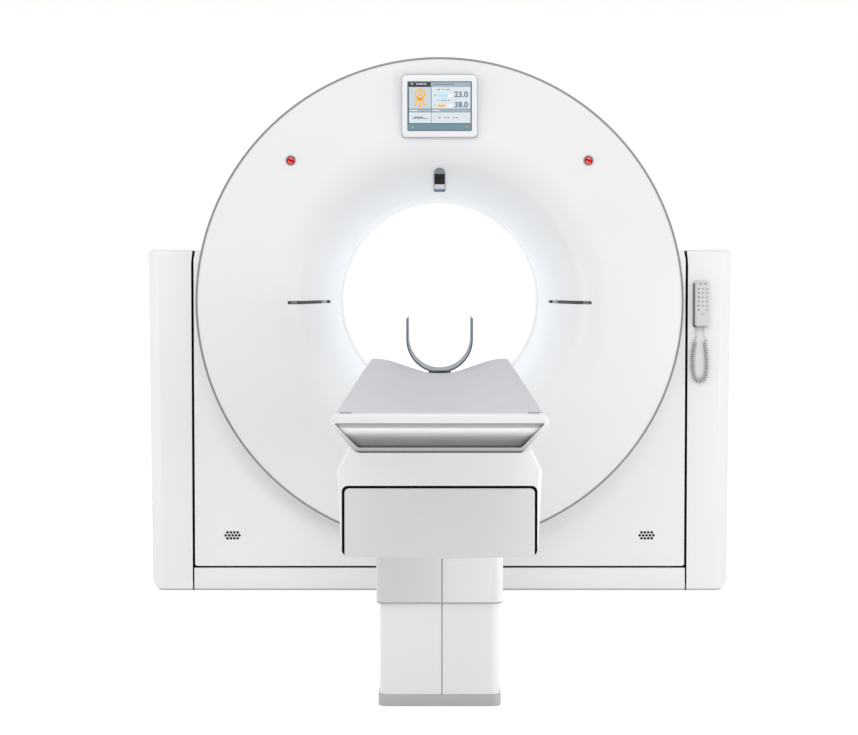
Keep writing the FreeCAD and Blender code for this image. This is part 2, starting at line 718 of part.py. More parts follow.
def display_bezel():
    """Frame of the status display, seated on the curved cover."""
    low = DISPLAY_Z - DISPLAY_HEIGHT / 2
    outline = rectangle(DISPLAY_WIDTH / 2, low, low + DISPLAY_HEIGHT)
    block = prism_y(area(outline, DISPLAY_ROUND), DISPLAY_FRONT_Y, -DISC_EDGE_Y)
    front = [block.Edges[i] for i in front_circle(block, DISPLAY_FRONT_Y)]
    block = block.makeChamfer(DISPLAY_CHAMFER, front)
    window = screen_block(0, DISPLAY_FRONT_Y, DISPLAY_FRONT_Y + SCREEN_RECESS + SCREEN_THICKNESS)
    return block.cut(window).cut(bell_layer(0, LIP_ROUND))


def screen_block(gap, y0, y1):
    """Block of the screen's outline, smaller all round by gap."""
    half = SCREEN_WIDTH / 2 - gap
    low = DISPLAY_Z - SCREEN_HEIGHT / 2 + gap
    return box(-half, half, y0, y1, low, low + SCREEN_HEIGHT - 2 * gap)


def display_screen():
    """Glass of the status display."""
    return screen_block(INSET_GAP, DISPLAY_FRONT_Y + SCREEN_RECESS,
                        DISPLAY_FRONT_Y + SCREEN_RECESS + SCREEN_THICKNESS)


def sensor_outline(gap):
    """Outline of the patient camera: straight foot, round head."""
    half = SENSOR_WIDTH / 2
    pairs = rectangle(half, ISO_Z + SENSOR_LOW, ISO_Z + SENSOR_HIGH)
    crown = half - NEAR_HALF_ROUND
    return prism_y(area(pairs, (SENSOR_FOOT_ROUND, SENSOR_FOOT_ROUND, crown, crown), gap), -FAR, 0)


def sensor_lens_zone(gap):
    """Height band of the camera's dark window."""
    return box(-FAR, FAR, -FAR, 0, ISO_Z + SENSOR_LENS_LOW + gap, ISO_Z + SENSOR_LENS_HIGH - gap)


def sensor_housing():
    """Patient camera's housing, which follows the bell mouth."""
    return bell_layer(-SENSOR_PROUD, 0).common(sensor_outline(0)).cut(sensor_lens_zone(0))


def sensor_lens():
    """Dark window of the patient camera."""
    return bell_layer(-SENSOR_LENS_PROUD, 0).common(sensor_outline(0)).common(sensor_lens_zone(INSET_GAP))


def bore_liner():
    """Straight tube that joins the two bell mouths."""
    return Part.makeCompound(in_segments(bore_ring(BORE_R + SKIN, BORE_R, -LINER_HALF, LINER_HALF)))


def housing_section(inset):
    """Outline of the tilting housing: a box with the round top of the disc."""
    sides = rectangle(HOUSING_HALF_WIDTH, HOUSING_BOTTOM_Z, HOUSING_TOP_Z)
    rounds = (HOUSING_FOOT_ROUND, HOUSING_FOOT_ROUND, SHOULDER_ROUND, SHOULDER_ROUND)
    half = HOUSING_HALF_DEPTH - SKIN
    block = prism_y(area(sides, rounds, inset), -half, half)
    return block.fuse(rod(AXIS_Y, DISC_R - WRAP_UNDER_DISC - inset, Vector(0, -half, ISO_Z), 2 * half))


def housing_wrap():
    """Skin round the housing's sides, shoulders, top and underside."""
    skin = housing_section(0).cut(housing_section(SKIN))
    hole_r = TRUNNION_R + TRUNNION_HOLE_GAP
    return skin.cut(rod(AXIS_X, hole_r, Vector(-HOUSING_HALF_WIDTH - SKIN, 0, ISO_Z),
                        2 * (HOUSING_HALF_WIDTH + SKIN)))


def plain_lower_panel():
    """Flat panel beside and below the disc."""
    pairs = rectangle(HOUSING_HALF_WIDTH, HOUSING_BOTTOM_Z, HOUSING_TOP_Z)
    rounds = (HOUSING_FOOT_ROUND, HOUSING_FOOT_ROUND, SHOULDER_ROUND, SHOULDER_ROUND)
    plate = prism_y(area(pairs, rounds), -HOUSING_HALF_DEPTH, -HOUSING_HALF_DEPTH + SKIN)
    opening = rod(AXIS_Y, DISC_R - PANEL_UNDER_DISC, Vector(0, -FAR, ISO_Z), 2 * FAR)
    return plate.cut(opening)


def octagon(radius, u, v):
    """Corners of an eight-sided outline round a point."""
    angles = [math.radians(22.5 + 45 * i) for i in range(8)]
    return [(u + radius * math.cos(angle), v + radius * math.sin(angle)) for angle in angles]


def speaker_holes():
    """The right grille's holes: rows of holes, each row shifted by half a pitch."""
    holes = []
    for row, count in enumerate(SPEAKER_ROWS):
        z = SPEAKER_Z + (row - (len(SPEAKER_ROWS) - 1) / 2) * SPEAKER_ROW_STEP
        for column in range(count):
            x = SPEAKER_X + (column - (count - 1) / 2) * SPEAKER_PITCH
            hole = area(octagon(SPEAKER_HOLE_R, x, z))
            holes.append(prism_y(hole, -HOUSING_HALF_DEPTH - SKIN, -HOUSING_HALF_DEPTH + 2 * SKIN))
    return Part.makeCompound(holes)


def front_lower_panel():
    """Front panel with the two speaker grilles."""
    return plain_lower_panel().cut(both_sides(speaker_holes()))


def speakers():
    """Loudspeakers behind the grilles: a basket that narrows to the magnet."""
    back_y = -HOUSING_HALF_DEPTH + SKIN
    basket = Part.makeCone(SPEAKER_R, SPEAKER_MAGNET_R, SPEAKER_DEPTH / 2,
                           Vector(SPEAKER_X, back_y, SPEAKER_Z), AXIS_Y)
    magnet = rod(AXIS_Y, SPEAKER_MAGNET_R, Vector(SPEAKER_X, back_y + SPEAKER_DEPTH / 2, SPEAKER_Z),
                 SPEAKER_DEPTH / 2)
    return both_sides(basket.fuse(magnet))


# ---- tilting frame and rotor ----------------------------------------------------------------------------
CHEEK_OUT_X = HOUSING_HALF_WIDTH - SKIN - CHEEK_TO_SKIN
STAND_IN_X = HOUSING_HALF_WIDTH + TILT_GAP + SKIN + STAND_TO_COVER
STAND_OUT_X = STAND_IN_X + STAND_THICKNESS
FRAME_REAR_Y = FRAME_FRONT_Y + FRAME_THICKNESS
DRUM_REAR_Y = FRAME_FRONT_Y - BEARING_LENGTH
DRUM_FRONT_Y = DRUM_REAR_Y - DRUM_THICKNESS
PULLEY_Z = ISO_Z - PULLEY_DROP
BELT_Y = DRUM_REAR_Y - DRUM_THICKNESS / 2 - BELT_WIDTH / 2


def tilt_frame():
    """Ring plate with a cheek and a trunnion on each side, and a plate for the drive motor."""
    ring = bore_ring(FRAME_OUT_R, FRAME_IN_R, FRAME_FRONT_Y, FRAME_REAR_Y)
    low = ISO_Z - CHEEK_HALF_HEIGHT
    high = ISO_Z + CHEEK_HALF_HEIGHT
    arm = box(FRAME_OUT_R - FRAME_ARM_ROOT, CHEEK_OUT_X, FRAME_FRONT_Y, FRAME_REAR_Y, low, high)
    cheek = box(CHEEK_OUT_X - CHEEK_THICKNESS, CHEEK_OUT_X, CHEEK_FRONT_Y, FRAME_REAR_Y, low, high)
    trunnion = rod(AXIS_X, TRUNNION_R, Vector(CHEEK_OUT_X - TRUNNION_ROOT, 0, ISO_Z),
                   STAND_OUT_X - CHEEK_OUT_X + TRUNNION_ROOT)
    side = arm.fuse(cheek).fuse(trunnion)
    reach = MOTOR_R + MOTOR_PLATE_MARGIN
    plate = box(PULLEY_X - reach, PULLEY_X + reach, FRAME_FRONT_Y, FRAME_REAR_Y,
                PULLEY_Z - reach, PULLEY_Z + MOTOR_PLATE_RISE)
    frame = ring.fuse([side, other_side(side), plate])
    shaft_hole = rod(AXIS_Y, SHAFT_R + SHAFT_GAP, Vector(PULLEY_X, 0, PULLEY_Z), FRAME_REAR_Y + SKIN)
    return frame.cut(shaft_hole).removeSplitter()


def main_bearing_outer():
    """Fixed ring of the large bearing."""
    return bore_ring(BEARING_OUT_R, BEARING_RACE_R + BEARING_GAP / 2, DRUM_REAR_Y + SEAM, FRAME_FRONT_Y)


def main_bearing_inner():
    """Turning ring of the large bearing."""
    return bore_ring(BEARING_RACE_R - BEARING_GAP / 2, BEARING_IN_R, DRUM_REAR_Y, FRAME_FRONT_Y - SEAM)


def rotor_drum():
    """Turning plate that carries the imaging parts."""
    return bore_ring(DRUM_OUT_R, DRUM_IN_R, DRUM_FRONT_Y, DRUM_REAR_Y)


def x_ray_tube():
    """Tube housing: a flanged barrel with a narrower nose, its axis along the bore."""
    barrel_front = DRUM_FRONT_Y - TUBE_LENGTH + TUBE_NOSE_LENGTH
    profile = area((
        (0, barrel_front - TUBE_NOSE_LENGTH),
        (TUBE_NOSE_R, barrel_front - TUBE_NOSE_LENGTH),
        (TUBE_NOSE_R, barrel_front),
        (TUBE_R, barrel_front),
        (TUBE_R, DRUM_FRONT_Y - TUBE_FLANGE_THICKNESS),
        (TUBE_FLANGE_R, DRUM_FRONT_Y - TUBE_FLANGE_THICKNESS),
        (TUBE_FLANGE_R, DRUM_FRONT_Y),
        (0, DRUM_FRONT_Y),
    ))
    profile.translate(Vector(0, 0, ISO_Z + TUBE_HEIGHT))
    return profile.revolve(Vector(0, 0, ISO_Z + TUBE_HEIGHT), AXIS_Y, 360)


def collimator():
    """Beam-shaping box under the tube, with the fan beam's slot through it."""
    top = ISO_Z + TUBE_HEIGHT
    rear = DRUM_FRONT_Y
    block = box(-COLLIMATOR_HALF_WIDTH, COLLIMATOR_HALF_WIDTH, rear - COLLIMATOR_DEPTH, rear,
                ISO_Z + COLLIMATOR_BOTTOM, top)
    middle = rear - COLLIMATOR_DEPTH / 2
    slot = box(-COLLIMATOR_HALF_WIDTH + FAN_SLOT, COLLIMATOR_HALF_WIDTH - FAN_SLOT,
               middle - FAN_SLOT / 2, middle + FAN_SLOT / 2, ISO_Z, top)
    tube_room = rod(AXIS_Y, TUBE_R, Vector(0, -FAR, top), 2 * FAR)
    flange_room = rod(AXIS_Y, TUBE_FLANGE_R, Vector(0, rear - TUBE_FLANGE_THICKNESS, top), FAR)
    body = block.cut(slot).cut(tube_room).cut(flange_room)
    return body.common(box(-FAR, FAR, -FAR, FAR, ISO_Z, top - COLLIMATOR_SEAT))


def detector_arc():
    """Curved detector, struck from the tube's focus on the far side of the bore."""
    focus = Vector(0, DRUM_FRONT_Y - DETECTOR_DEPTH, ISO_Z + TUBE_HEIGHT)
    face_r = TUBE_HEIGHT + DETECTOR_DROP
    back_r = face_r + DETECTOR_THICKNESS
    arc = tube(AXIS_Y, back_r, face_r, focus, DETECTOR_DEPTH)
    half_width = back_r * math.tan(math.radians(DETECTOR_HALF_ANGLE))
    fan = area(((0, focus.z), (-half_width, focus.z - back_r), (half_width, focus.z - back_r)))
    return arc.common(prism_y(fan, -FAR, FAR))


def side_unit():
    """Block of a unit on the right of the drum."""
    low = ISO_Z - SIDE_UNIT_HALF_HEIGHT
    high = ISO_Z + SIDE_UNIT_HALF_HEIGHT
    return box(SIDE_UNIT_IN, SIDE_UNIT_IN + SIDE_UNIT_WIDTH, DRUM_FRONT_Y - SIDE_UNIT_DEPTH, DRUM_FRONT_Y,
               low, high)


def high_voltage_generator():
    """Oil-filled generator tank with rounded edges along the bore."""
    unit_block = side_unit()
    along = [edge for edge in unit_block.Edges if edge.BoundBox.YLength > SIDE_UNIT_DEPTH / 2]
    return unit_block.makeFillet(GENERATOR_ROUND, along)


def tube_cooler():
    """Oil cooler with fins on its front."""
    cooler = other_side(side_unit())
    pitch = 2 * SIDE_UNIT_HALF_HEIGHT / (COOLER_FINS + 0.5)
    front = DRUM_FRONT_Y - SIDE_UNIT_DEPTH
    for i in range(COOLER_FINS):
        low = ISO_Z - SIDE_UNIT_HALF_HEIGHT + (i + 0.5) * pitch
        cooler = cooler.cut(box(-FAR, 0, front, front + COOLER_FIN_DEPTH, low, low + pitch / 2))
    return cooler


def slip_ring():
    """Copper-track ring on the back of the drum."""
    return bore_ring(SLIP_RING_OUT_R, SLIP_RING_IN_R, DRUM_REAR_Y, DRUM_REAR_Y + SLIP_RING_THICKNESS)


def brush_block():
    """Carbon brushes that face the slip ring."""
    front = DRUM_REAR_Y + SLIP_RING_THICKNESS + BRUSH_GAP
    return box(-BRUSH_WIDTH / 2, BRUSH_WIDTH / 2, front, FRAME_FRONT_Y,
               ISO_Z - SLIP_RING_OUT_R, ISO_Z - SLIP_RING_IN_R)


def drive_pulley():
    """Pulley on its shaft."""
    centre = Vector(PULLEY_X, BELT_Y, PULLEY_Z)
    wheel = rod(AXIS_Y, PULLEY_R, centre - AXIS_Y * PULLEY_MARGIN, BELT_WIDTH + 2 * PULLEY_MARGIN)
    shaft = rod(AXIS_Y, SHAFT_R, centre, FRAME_REAR_Y + MOTOR_LENGTH / 2 - BELT_Y)
    return wheel.fuse(shaft)


def belt_loop(growth):
    """Solid inside a belt line that lies growth outside the drum and the pulley."""
    big = DRUM_OUT_R + growth
    small = PULLEY_R + growth
    distance = math.hypot(PULLEY_X, PULLEY_DROP)
    towards = math.atan2(-PULLEY_DROP, PULLEY_X)
    spread = math.acos((big - small) / distance)
    corners = []
    for x, z, radius, angle in (
        (0, ISO_Z, big, towards + spread),
        (PULLEY_X, PULLEY_Z, small, towards + spread),
        (PULLEY_X, PULLEY_Z, small, towards - spread),
        (0, ISO_Z, big, towards - spread),
    ):
        corners.append((x + radius * math.cos(angle), z + radius * math.sin(angle)))
    web = prism_y(area(corners[::-1]), BELT_Y, BELT_Y + BELT_WIDTH)
    drum = rod(AXIS_Y, big, Vector(0, BELT_Y, ISO_Z), BELT_WIDTH)
    pulley = rod(AXIS_Y, small, Vector(PULLEY_X, BELT_Y, PULLEY_Z), BELT_WIDTH)
    return drum.fuse([web, pulley]).removeSplitter()


def drive_belt():
    """Belt round the drum and the pulley."""
    return belt_loop(BELT_GAP + BELT_THICKNESS).cut(belt_loop(BELT_GAP))


def drive_motor():
    """Motor behind the frame plate, with the shaft's bearing bore."""
    start = Vector(PULLEY_X, FRAME_REAR_Y, PULLEY_Z)
    return tube(AXIS_Y, MOTOR_R, SHAFT_R + SHAFT_GAP, start, MOTOR_LENGTH)


# ---- pillars and base -----------------------------------------------------------------------------------
BASE_HALF_WIDTH = STAND_OUT_X + BASE_MARGIN
BASE_HALF_DEPTH = HOUSING_HALF_DEPTH - SKIN


def pillar_block(inset, bottom_z):
    """Right pillar's body, drawn in by inset: its front view crossed with its plan."""
    front = area((
        (PILLAR_IN_X, bottom_z),
        (PILLAR_FOOT_X, bottom_z),
        (PILLAR_OUTER_X, PILLAR_TOP_Z),
        (PILLAR_IN_X, PILLAR_TOP_Z),
    ), (0, PILLAR_FOOT_ROUND, PILLAR_TOP_ROUND, PILLAR_INNER_ROUND), inset)
    plan = area((
        (PILLAR_IN_X, -HOUSING_HALF_DEPTH),
        (PILLAR_OUTER_X, -HOUSING_HALF_DEPTH),
        (PILLAR_OUTER_X, HOUSING_HALF_DEPTH),
        (PILLAR_IN_X, HOUSING_HALF_DEPTH),
    ), (PILLAR_INNER_ROUND, PILLAR_EDGE_ROUND, PILLAR_EDGE_ROUND, PILLAR_INNER_ROUND), inset)
    half = HOUSING_HALF_DEPTH
    return prism_y(front, -half, half).common(prism_z(plan, bottom_z, PILLAR_TOP_Z))


def pillar_covers():
    """Moulded covers of the two pillars, open at the floor and round the trunnions."""
    shell = pillar_block(0, 0).cut(pillar_block(SKIN, -SKIN))
    shell = shell.cut(rod(AXIS_X, TRUNNION_R + TRUNNION_HOLE_GAP, Vector(0, 0, ISO_Z), STAND_IN_X))
    base_room = box(0, STAND_IN_X, -BASE_HALF_DEPTH, BASE_HALF_DEPTH, -SKIN, BASE_THICKNESS + SEAM)
    return both_sides(shell.cut(base_room))


def base_plate():
    """Steel floor plate with its anchor holes."""
    plate = box(-BASE_HALF_WIDTH, BASE_HALF_WIDTH, -BASE_HALF_DEPTH, BASE_HALF_DEPTH, 0, BASE_THICKNESS)
    anchor_x = BASE_HALF_WIDTH - ANCHOR_EDGE_X
    anchor_y = BASE_HALF_DEPTH - ANCHOR_EDGE_Y
    for x in (-anchor_x, anchor_x):
        for y in (-anchor_y, anchor_y):
            plate = plate.cut(rod(AXIS_Z, ANCHOR_HOLE_R, Vector(x, y, -SKIN), BASE_THICKNESS + 2 * SKIN))
    return plate


def stands():
    """Tapered stands that carry the trunnion bearings."""
    top_z = ISO_Z + STAND_OVER_AXIS
    side = area((
        (-STAND_FOOT_HALF, BASE_THICKNESS),
        (STAND_FOOT_HALF, BASE_THICKNESS),
        (STAND_TOP_HALF, top_z),
        (-STAND_TOP_HALF, top_z),
    ))
    sill = BASE_THICKNESS + STAND_WINDOW_SILL
    head_half = STAND_TOP_HALF - STAND_WINDOW_TAPER
    window = area((
        (-STAND_TOP_HALF, sill),
        (STAND_TOP_HALF, sill),
        (head_half, ISO_Z - STAND_WINDOW_DROP),
        (-head_half, ISO_Z - STAND_WINDOW_DROP),
    ))
    seat = rod(AXIS_X, TRUNNION_BEARING_OUT_R, Vector(STAND_IN_X, 0, ISO_Z), STAND_THICKNESS)
    stand = prism_x(side, STAND_IN_X, STAND_OUT_X).cut(prism_x(window, STAND_IN_X, STAND_OUT_X)).cut(seat)
    return both_sides(stand)


def trunnion_bearings():
    """Bearing rings in the two stands."""
    inner = TRUNNION_R + TRUNNION_BEARING_GAP
    return both_sides(tube(AXIS_X, TRUNNION_BEARING_OUT_R, inner, Vector(STAND_IN_X, 0, ISO_Z),
                           STAND_THICKNESS))


def tilt_gearmotor():
    """Gearbox on the end of the right trunnion's bearing, with its motor hanging below."""
    gearbox = rod(AXIS_X, GEARBOX_R, Vector(STAND_OUT_X + SEAM, 0, ISO_Z), GEARBOX_LENGTH)
    motor_x = STAND_OUT_X + 2 * SEAM + TILT_MOTOR_R
    motor_foot = Vector(motor_x, TILT_MOTOR_OFFSET, ISO_Z - GEARBOX_R - TILT_MOTOR_LENGTH)
    motor = rod(AXIS_Z, TILT_MOTOR_R, motor_foot, TILT_MOTOR_LENGTH + GEARBOX_R)
    foot = box(STAND_OUT_X, STAND_OUT_X + SEAM, -GEARBOX_R, GEARBOX_R,
               ISO_Z - GEARBOX_R, ISO_Z - TRUNNION_BEARING_OUT_R - SKIN)
    link = box(STAND_OUT_X, STAND_OUT_X + GEARBOX_LENGTH, -GEARBOX_FOOT_HALF, GEARBOX_FOOT_HALF,
               ISO_Z - GEARBOX_R, ISO_Z - TRUNNION_BEARING_OUT_R - SKIN)
    return gearbox.fuse([motor, foot, link]).removeSplitter()


def plinths():
    """Strips that close the space between the pillars below the housing, front and rear."""
    half = PILLAR_IN_X - SEAM
    front = -HOUSING_HALF_DEPTH
    strip_front = box(-half, half, front, front + SKIN, 0, PLINTH_TOP_Z)
    return Part.makeCompound([strip_front, at_rear(strip_front)])


# ---- handset --------------------------------------------------------------------------------------------
HOLDER_Y = -HOUSING_HALF_DEPTH - HOLDER_THICKNESS
HANDSET_FRONT_Y = HOLDER_Y - HANDSET_THICKNESS


def handset_holder():
    """Wall plate with the shelf that the handset stands on."""
    half = HANDSET_WIDTH / 2 - HOLDER_INSET
    low = HANDSET_BOTTOM_Z - HOLDER_THICKNESS
    high = HANDSET_BOTTOM_Z + HANDSET_HEIGHT - HOLDER_INSET
    plate = box(HANDSET_X - half, HANDSET_X + half, HOLDER_Y, -HOUSING_HALF_DEPTH, low, high)
    shelf = box(HANDSET_X - half, HANDSET_X + half, HOLDER_Y - HOLDER_SHELF, HOLDER_Y, low, HANDSET_BOTTOM_Z)
    notch_x = HANDSET_X + CORD_ROUTE[0][0] - CORD_RELIEF_R - HOLDER_NOTCH_GAP
    notch = box(notch_x, HANDSET_X + half, HOLDER_Y - HOLDER_SHELF, HOLDER_Y - HOLDER_NOTCH_BACK,
                low, HANDSET_BOTTOM_Z)
    return plate.fuse(shelf).cut(notch)


def handset():
    """Remote handset with rounded edges all round its face."""
    half = HANDSET_WIDTH / 2
    block = box(HANDSET_X - half, HANDSET_X + half, HANDSET_FRONT_Y, HOLDER_Y, HANDSET_BOTTOM_Z,
                HANDSET_BOTTOM_Z + HANDSET_HEIGHT)
    upright = [edge for edge in block.Edges if edge.BoundBox.YLength > HANDSET_THICKNESS / 2]
    block = block.makeFillet(HANDSET_ROUND, upright)
    front = [block.Edges[i] for i in front_circle(block, HANDSET_FRONT_Y)]
    return block.makeChamfer(HANDSET_CHAMFER, front).fuse(handset_keys())


def handset_keys():
    """Grid of flat keys moulded in the handset's face."""
    keys = []
    top = HANDSET_BOTTOM_Z + HANDSET_HEIGHT - KEYS_TOP_MARGIN
    for row in range(KEY_ROWS):
        for column in range(KEY_COLUMNS):
            x = HANDSET_X + (column - (KEY_COLUMNS - 1) / 2) * KEY_PITCH_X - KEY_SIZE / 2
            z = top - row * KEY_PITCH_Z - KEY_SIZE / 2
            keys.append(box(x, x + KEY_SIZE, HANDSET_FRONT_Y - KEY_PROUD, HANDSET_FRONT_Y + KEY_ROOT,
                            z, z + KEY_SIZE))
    return keys


# ---- curly cord -----------------------------------------------------------------------------------------
RELIEF_TOP_Z = HANDSET_BOTTOM_Z
HOLDER_RELIEF_TOP_Z = HANDSET_BOTTOM_Z - HOLDER_THICKNESS


def route_point(offsets):
    """Point of the cord's route in the machine's frame."""
    return Vector(*offsets) + Vector(HANDSET_X, -HOUSING_HALF_DEPTH, HANDSET_BOTTOM_Z)


class CoilLine:
    """Helix round the cord's route, which opens from the route at one end and closes at the other."""

    def __init__(self):
        curve = Part.BSplineCurve()
        curve.interpolate([route_point(offsets) for offsets in CORD_ROUTE],
                          InitialTangent=-AXIS_Z, FinalTangent=AXIS_Z)
        self.route = curve.toShape()
        self.length = self.route.Length

    def point(self, turn):
        """Point of the wire's centre line after a number of turns."""
        share = min(max(turn / CORD_CURLS, 0.0), 1.0)
        parameter = self.route.getParameterByLength(share * self.length)
        centre = self.route.valueAt(parameter)
        forward = self.route.tangentAt(parameter)
        across = unit(forward.cross(AXIS_Y))
        up = across.cross(forward)
        ramp = min(turn, CORD_CURLS - turn, 1.0)
        radius = CORD_COIL_R * math.sin(ramp * math.pi / 2) ** 2
        angle = 2 * math.pi * turn
        return centre + (across * math.cos(angle) + up * math.sin(angle)) * radius


def cord_points():
    """Corners of the whole cord's centre line: a straight stub, the curls and a second stub."""
    coil = CoilLine()
    curls = [coil.point(i / CORD_CHORDS) for i in range(CORD_CURLS * CORD_CHORDS + 1)]
    first = Vector(curls[0].x, curls[0].y, RELIEF_TOP_Z - CORD_RELIEF_LENGTH)
    last = Vector(curls[-1].x, curls[-1].y, HOLDER_RELIEF_TOP_Z - CORD_RELIEF_LENGTH)
    return [first] + curls + [last]


def report_cord(points):
    """Print the cord's length and its least gap to itself, measured on points of its centre line."""
    samples = []
    along = 0.0
    for start, end in zip(points, points[1:]):
        stretch = (end - start).Length
        count = max(round(stretch), 1)
        samples += [(along + stretch * i / count, start + (end - start) * (i / count)) for i in range(count)]
        along += stretch
    least = FAR
    for i, (place, point) in enumerate(samples):
        for other_place, other in samples[i + 1:]:
            if other_place - place > 4 * CORD_WIRE:
                least = min(least, point.distanceToPoint(other))
    print("cord length %.0f mm, least gap to itself %.2f mm" % (along, least - CORD_WIRE))


def handset_cord():
    """Curly cord as one tube with flat sides, mitred from stretch to stretch."""
    points = cord_points()
    report_cord(points)
    corners = []
    for i in range(CORD_SIDES):
        angle = 2 * math.pi * i / CORD_SIDES
        corners.append(points[0] + Vector(math.cos(angle), math.sin(angle), 0) * (CORD_WIRE / 2))
    section = Part.makePolygon(corners + corners[:1])
    mitred = 1
    return Part.makePolygon(points).makePipeShell([section], True, False, mitred)


def cord_reliefs():
    """Strain reliefs: one on the handset, one under its holder."""
    reliefs = []
    for offsets, top in ((CORD_ROUTE[0], RELIEF_TOP_Z), (CORD_ROUTE[-1], HOLDER_RELIEF_TOP_Z)):
        middle = route_point(offsets)
        plan = area(octagon(CORD_RELIEF_R, middle.x, middle.y))
        reliefs.append(prism_z(plan, top - CORD_RELIEF_LENGTH, top))
    return Part.makeCompound(reliefs)


# ---- table ----------------------------------------------------------------------------------------------
PEDESTAL_MID_Y = (PEDESTAL_FRONT_Y + PEDESTAL_REAR_Y) / 2
GUIDE_YS = (PEDESTAL_MID_Y - GUIDE_OFFSET_Y, PEDESTAL_MID_Y + GUIDE_OFFSET_Y)


def pedestal_outline(growth):
    """Plan of the pedestal, grown beyond the foot's outline."""
    half = FOOT_HALF_WIDTH + growth
    front = PEDESTAL_FRONT_Y - growth
    rear = PEDESTAL_REAR_Y + growth
    return area(((-half, front), (half, front), (half, rear), (-half, rear)), SLEEVE_ROUND + growth)


def sleeve(growth, z0, z1):
    """Tube of the pedestal's plan."""
    filled = prism_z(pedestal_outline(growth), z0, z1)
    return filled.cut(prism_z(pedestal_outline(growth - SLEEVE_WALL), z0, z1))


UPPER_SLEEVE_GROWTH = UPPER_SLEEVE_GAP + SLEEVE_WALL - LOWER_SLEEVE_INSET


def table_foot_cover():
    """Band round the pedestal's foot."""
    filled = prism_z(pedestal_outline(0), 0, FOOT_HEIGHT)
    return filled.cut(prism_z(pedestal_outline(-FOOT_WALL), 0, FOOT_HEIGHT))


def lower_sleeves():
    """Left and right halves of the fixed sleeve, with the seam between them."""
    whole = sleeve(-LOWER_SLEEVE_INSET, FOOT_HEIGHT, LOWER_SLEEVE_TOP_Z)
    seam = box(SLEEVE_SEAM_X - SLEEVE_SEAM / 2, SLEEVE_SEAM_X + SLEEVE_SEAM / 2, -FAR, FAR, 0, FAR)
    return whole.cut(seam)


def upper_sleeve():
    """Sleeve that rises with the table."""
    return sleeve(UPPER_SLEEVE_GROWTH, UPPER_SLEEVE_BOTTOM_Z, TABLE_FRAME_Z)


def table_base():
    """Floor plate of the table with its anchor holes and the two columns that keep the table upright."""
    plate = prism_z(pedestal_outline(-FOOT_WALL - SEAM), 0, TABLE_BASE_THICKNESS)
    for x in (-TABLE_ANCHOR_X, TABLE_ANCHOR_X):
        for y in (-TABLE_ANCHOR_Y, TABLE_ANCHOR_Y):
            plate = plate.cut(rod(AXIS_Z, TABLE_ANCHOR_R, Vector(x, PEDESTAL_MID_Y + y, -SKIN), FOOT_HEIGHT))
    return plate.fuse(guide_columns())


def lift_actuator():
    """Lifting cylinder and its motor on the table's floor plate."""
    low = TABLE_BASE_THICKNESS
    foot = Vector(0, PEDESTAL_MID_Y, low)
    cylinder = rod(AXIS_Z, LIFT_CYLINDER_R, foot, LIFT_CYLINDER_TOP_Z - low)
    well = rod(AXIS_Z, LIFT_ROD_R + LIFT_ROD_GAP, foot + AXIS_Z * LIFT_WELL_FLOOR, FAR)
    motor = rod(AXIS_Z, LIFT_MOTOR_R, foot + AXIS_Y * LIFT_MOTOR_OFFSET, LIFT_MOTOR_HEIGHT)
    yoke = box(-LIFT_MOTOR_R / 2, LIFT_MOTOR_R / 2, PEDESTAL_MID_Y, PEDESTAL_MID_Y + LIFT_MOTOR_OFFSET, low,
               low + LIFT_MOTOR_R)
    return cylinder.fuse([motor, yoke]).cut(well)


def lift_rod():
    """Rod that pushes the table up."""
    start = Vector(0, PEDESTAL_MID_Y, LIFT_ROD_BOTTOM_Z)
    return rod(AXIS_Z, LIFT_ROD_R, start, TABLE_FRAME_Z - LIFT_ROD_BOTTOM_Z)


def guide_box(growth, z0, z1, y):
    """Rectangular bar of a guide column, grown all round."""
    half_x = GUIDE_WIDTH / 2 + growth
    half_y = GUIDE_DEPTH / 2 + growth
    return box(-half_x, half_x, y - half_y, y + half_y, z0, z1)


def guide_columns():
    """The two hollow columns on the table's floor plate."""
    columns = []
    for y in GUIDE_YS:
        bar = guide_box(0, TABLE_BASE_THICKNESS, GUIDE_TOP_Z, y)
        columns.append(bar.cut(guide_box(-GUIDE_WALL, TABLE_BASE_THICKNESS, GUIDE_TOP_Z, y)))
    return columns


def guide_tubes():
    """Rectangular tubes that slide over the columns."""
    tubes = []
    for y in GUIDE_YS:
        bar = guide_box(GUIDE_GAP + GUIDE_WALL, GUIDE_TUBE_BOTTOM_Z, TABLE_FRAME_Z, y)
        tubes.append(bar.cut(guide_box(GUIDE_GAP, GUIDE_TUBE_BOTTOM_Z, TABLE_FRAME_Z, y)))
    return Part.makeCompound(tubes)


def table_section(inset):
    """Cross-section of the table's shell, drawn in by inset."""
    return area((
        (0, TABLE_BELLY_Z),
        (TABLE_FOOT_HALF_WIDTH, TABLE_FOOT_Z),
        (TABLE_HALF_WIDTH, TABLE_SHOULDER_Z),
        (DECK_HALF_WIDTH, TABLE_DECK_Z),
        (-DECK_HALF_WIDTH, TABLE_DECK_Z),
        (-TABLE_HALF_WIDTH, TABLE_SHOULDER_Z),
        (-TABLE_FOOT_HALF_WIDTH, TABLE_FOOT_Z),
    ), (0, TABLE_FOOT_ROUND, SHOULDER_ROUND_TABLE, DECK_ROUND, DECK_ROUND, SHOULDER_ROUND_TABLE,
        TABLE_FOOT_ROUND), inset)


def panel_opening(gap):
    """Outline of the end panel, grown by gap, open towards the floor."""
    half = END_PANEL_HALF_WIDTH + gap
    pairs = rectangle(half, 0, END_PANEL_TOP_Z + gap)
    return area(pairs, (0, 0, END_PANEL_ROUND, END_PANEL_ROUND))


